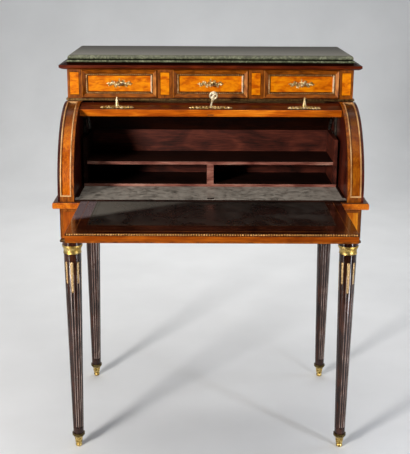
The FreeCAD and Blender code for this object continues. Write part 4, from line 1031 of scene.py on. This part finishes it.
# Stage: pale seamless paper. The key light is at the front left, at about the camera's height. One hangs
# overhead, strips light the legs, and weak ones reach in from the right and down on the backdrop
stageLook = {"floor": "#e4e9ee", "fleck": "#dce1e6", "roughness": 0.7, "frontY": -0.9, "reachY": 2.6,
             "bend": 1.2, "height": 4.0, "half": 6.0}
paper, tree, shader, place = newMaterial("backgroundPaper")
fibre = addNode(tree, "TexNoise", {"Vector": place, "Scale": 3.0, "Detail": 4.0})
shade = addNode(tree, "ValToRGB", fibre, stops=[(0.3, stageLook["fleck"]), (0.7, stageLook["floor"])])
setInputs(tree, shader, {"Base Color": shade, "Roughness": stageLook["roughness"]})
half, bend, reach = [stageLook[part] for part in ("half", "bend", "reachY")]
curve = [math.radians(angle) for angle in range(6, 91, 6)]
sweep = [(stageLook["frontY"], 0.0), (reach, 0.0)]
sweep += [(reach + bend * math.sin(angle), bend - bend * math.cos(angle)) for angle in curve]
sweep.append((reach + bend, stageLook["height"]))
mesh = bpy.data.meshes.new("studioSweep")
points = [(x, y, z) for y, z in sweep for x in (-half, half)]
mesh.from_pydata(points, [], [(2 * i, 2 * i + 1, 2 * i + 3, 2 * i + 2) for i in range(len(sweep) - 1)])
mesh.materials.append(paper)
mesh.shade_smooth()
floor = addObject("studioSweep", mesh)

lights = {
    "keyLight": {"at": (-1.8, -2.4, 1.45), "aim": (0, 0, 0.75), "size": (0.5, 0.5), "watts": 100,
                 "tone": "#fff8f0"},
    "overhead": {"at": (0, -0.7, 3), "aim": (0, -0.1, 0), "size": (2.2, 2.2), "watts": 26, "tone": "#fffaf4"},
    "stripLight": {"at": (1.6, -1.5, 0.34), "aim": (0.3, 0, 0.34), "size": (0.12, 0.62), "watts": 8,
                   "tone": "#f6f8ff"},
    "nearStrip": {"at": (0.95, -0.75, 0.28), "aim": (0.36, -0.09, 0.28), "size": (0.07, 0.56), "watts": 3.8,
                  "tone": "#f6f8ff"},
    "lowStrip": {"at": (-0.95, -0.75, 0.28), "aim": (-0.36, -0.09, 0.28), "size": (0.03, 0.56), "watts": 2.4,
                 "tone": "#fffaf4"},
    "sideLight": {"at": (2.9, 0.6, 1.1), "aim": (0, 0.1, 0.4), "size": (1.0, 1.2), "watts": 18,
                  "tone": "#f4f7ff"},
    "backdropLight": {"at": (0, 2, 3.2), "aim": (0, 2.05, 0.05), "size": (3.4, 1.2), "watts": 26,
                      "tone": "#fff9f2", "spread": 95}}
for name, look in lights.items():
    lamp = bpy.data.lights.new(name, "AREA")
    lamp.shape = "RECTANGLE"
    lamp.size, lamp.size_y = look["size"]
    lamp.spread = math.radians(look.get("spread", 180))
    lamp.energy = look["watts"]
    lamp.color = hexColour(look["tone"])[:3]
    holder = addObject(name, lamp)
    holder.visible_camera = False
    holder.location = look["at"]
    holder.rotation_euler = (Vector(look["aim"]) - Vector(look["at"])).to_track_quat("-Z", "Y").to_euler()
airLook = {"tone": "#e8e8ea", "strength": (-0.5, 0.6, 0.015, 0.16)}  # the room in front of the desk is dark
world = bpy.data.worlds.new("studioAir")
world.use_nodes = True
tree = world.node_tree
depth = addNode(tree, "SeparateXYZ", addNode(tree, "TexCoord", out="Generated"), "Y")
glow = addNode(tree, "MapRange", depth, span=airLook["strength"])
setInputs(tree, tree.nodes["Background"], {"Color": hexColour(airLook["tone"]), "Strength": glow})
bpy.context.scene.world = world
bpy.context.scene.view_settings.view_transform = "Standard"  # keeps the deep orange of the veneer

# Camera: a little above the desk, straight on, long lens; angles in degrees
view = {"at": (-0.027, -2.4573, 1.286), "down": 15.57, "yaw": -0.31, "roll": 0.28, "lens": 75.64,
        "sensor": 36.0, "far": 50.0}
camera = bpy.data.cameras.new("deskCamera")
camera.lens, camera.sensor_width, camera.clip_end = view["lens"], view["sensor"], view["far"]
eyePoint = addObject("deskCamera", camera)
eyePoint.matrix_world = (shifted(*view["at"]) @ turned(view["yaw"]) @ turned(90 - view["down"], "X")
                         @ turned(view["roll"]))
bpy.context.scene.camera = eyePoint
print("stage, lights and camera set")
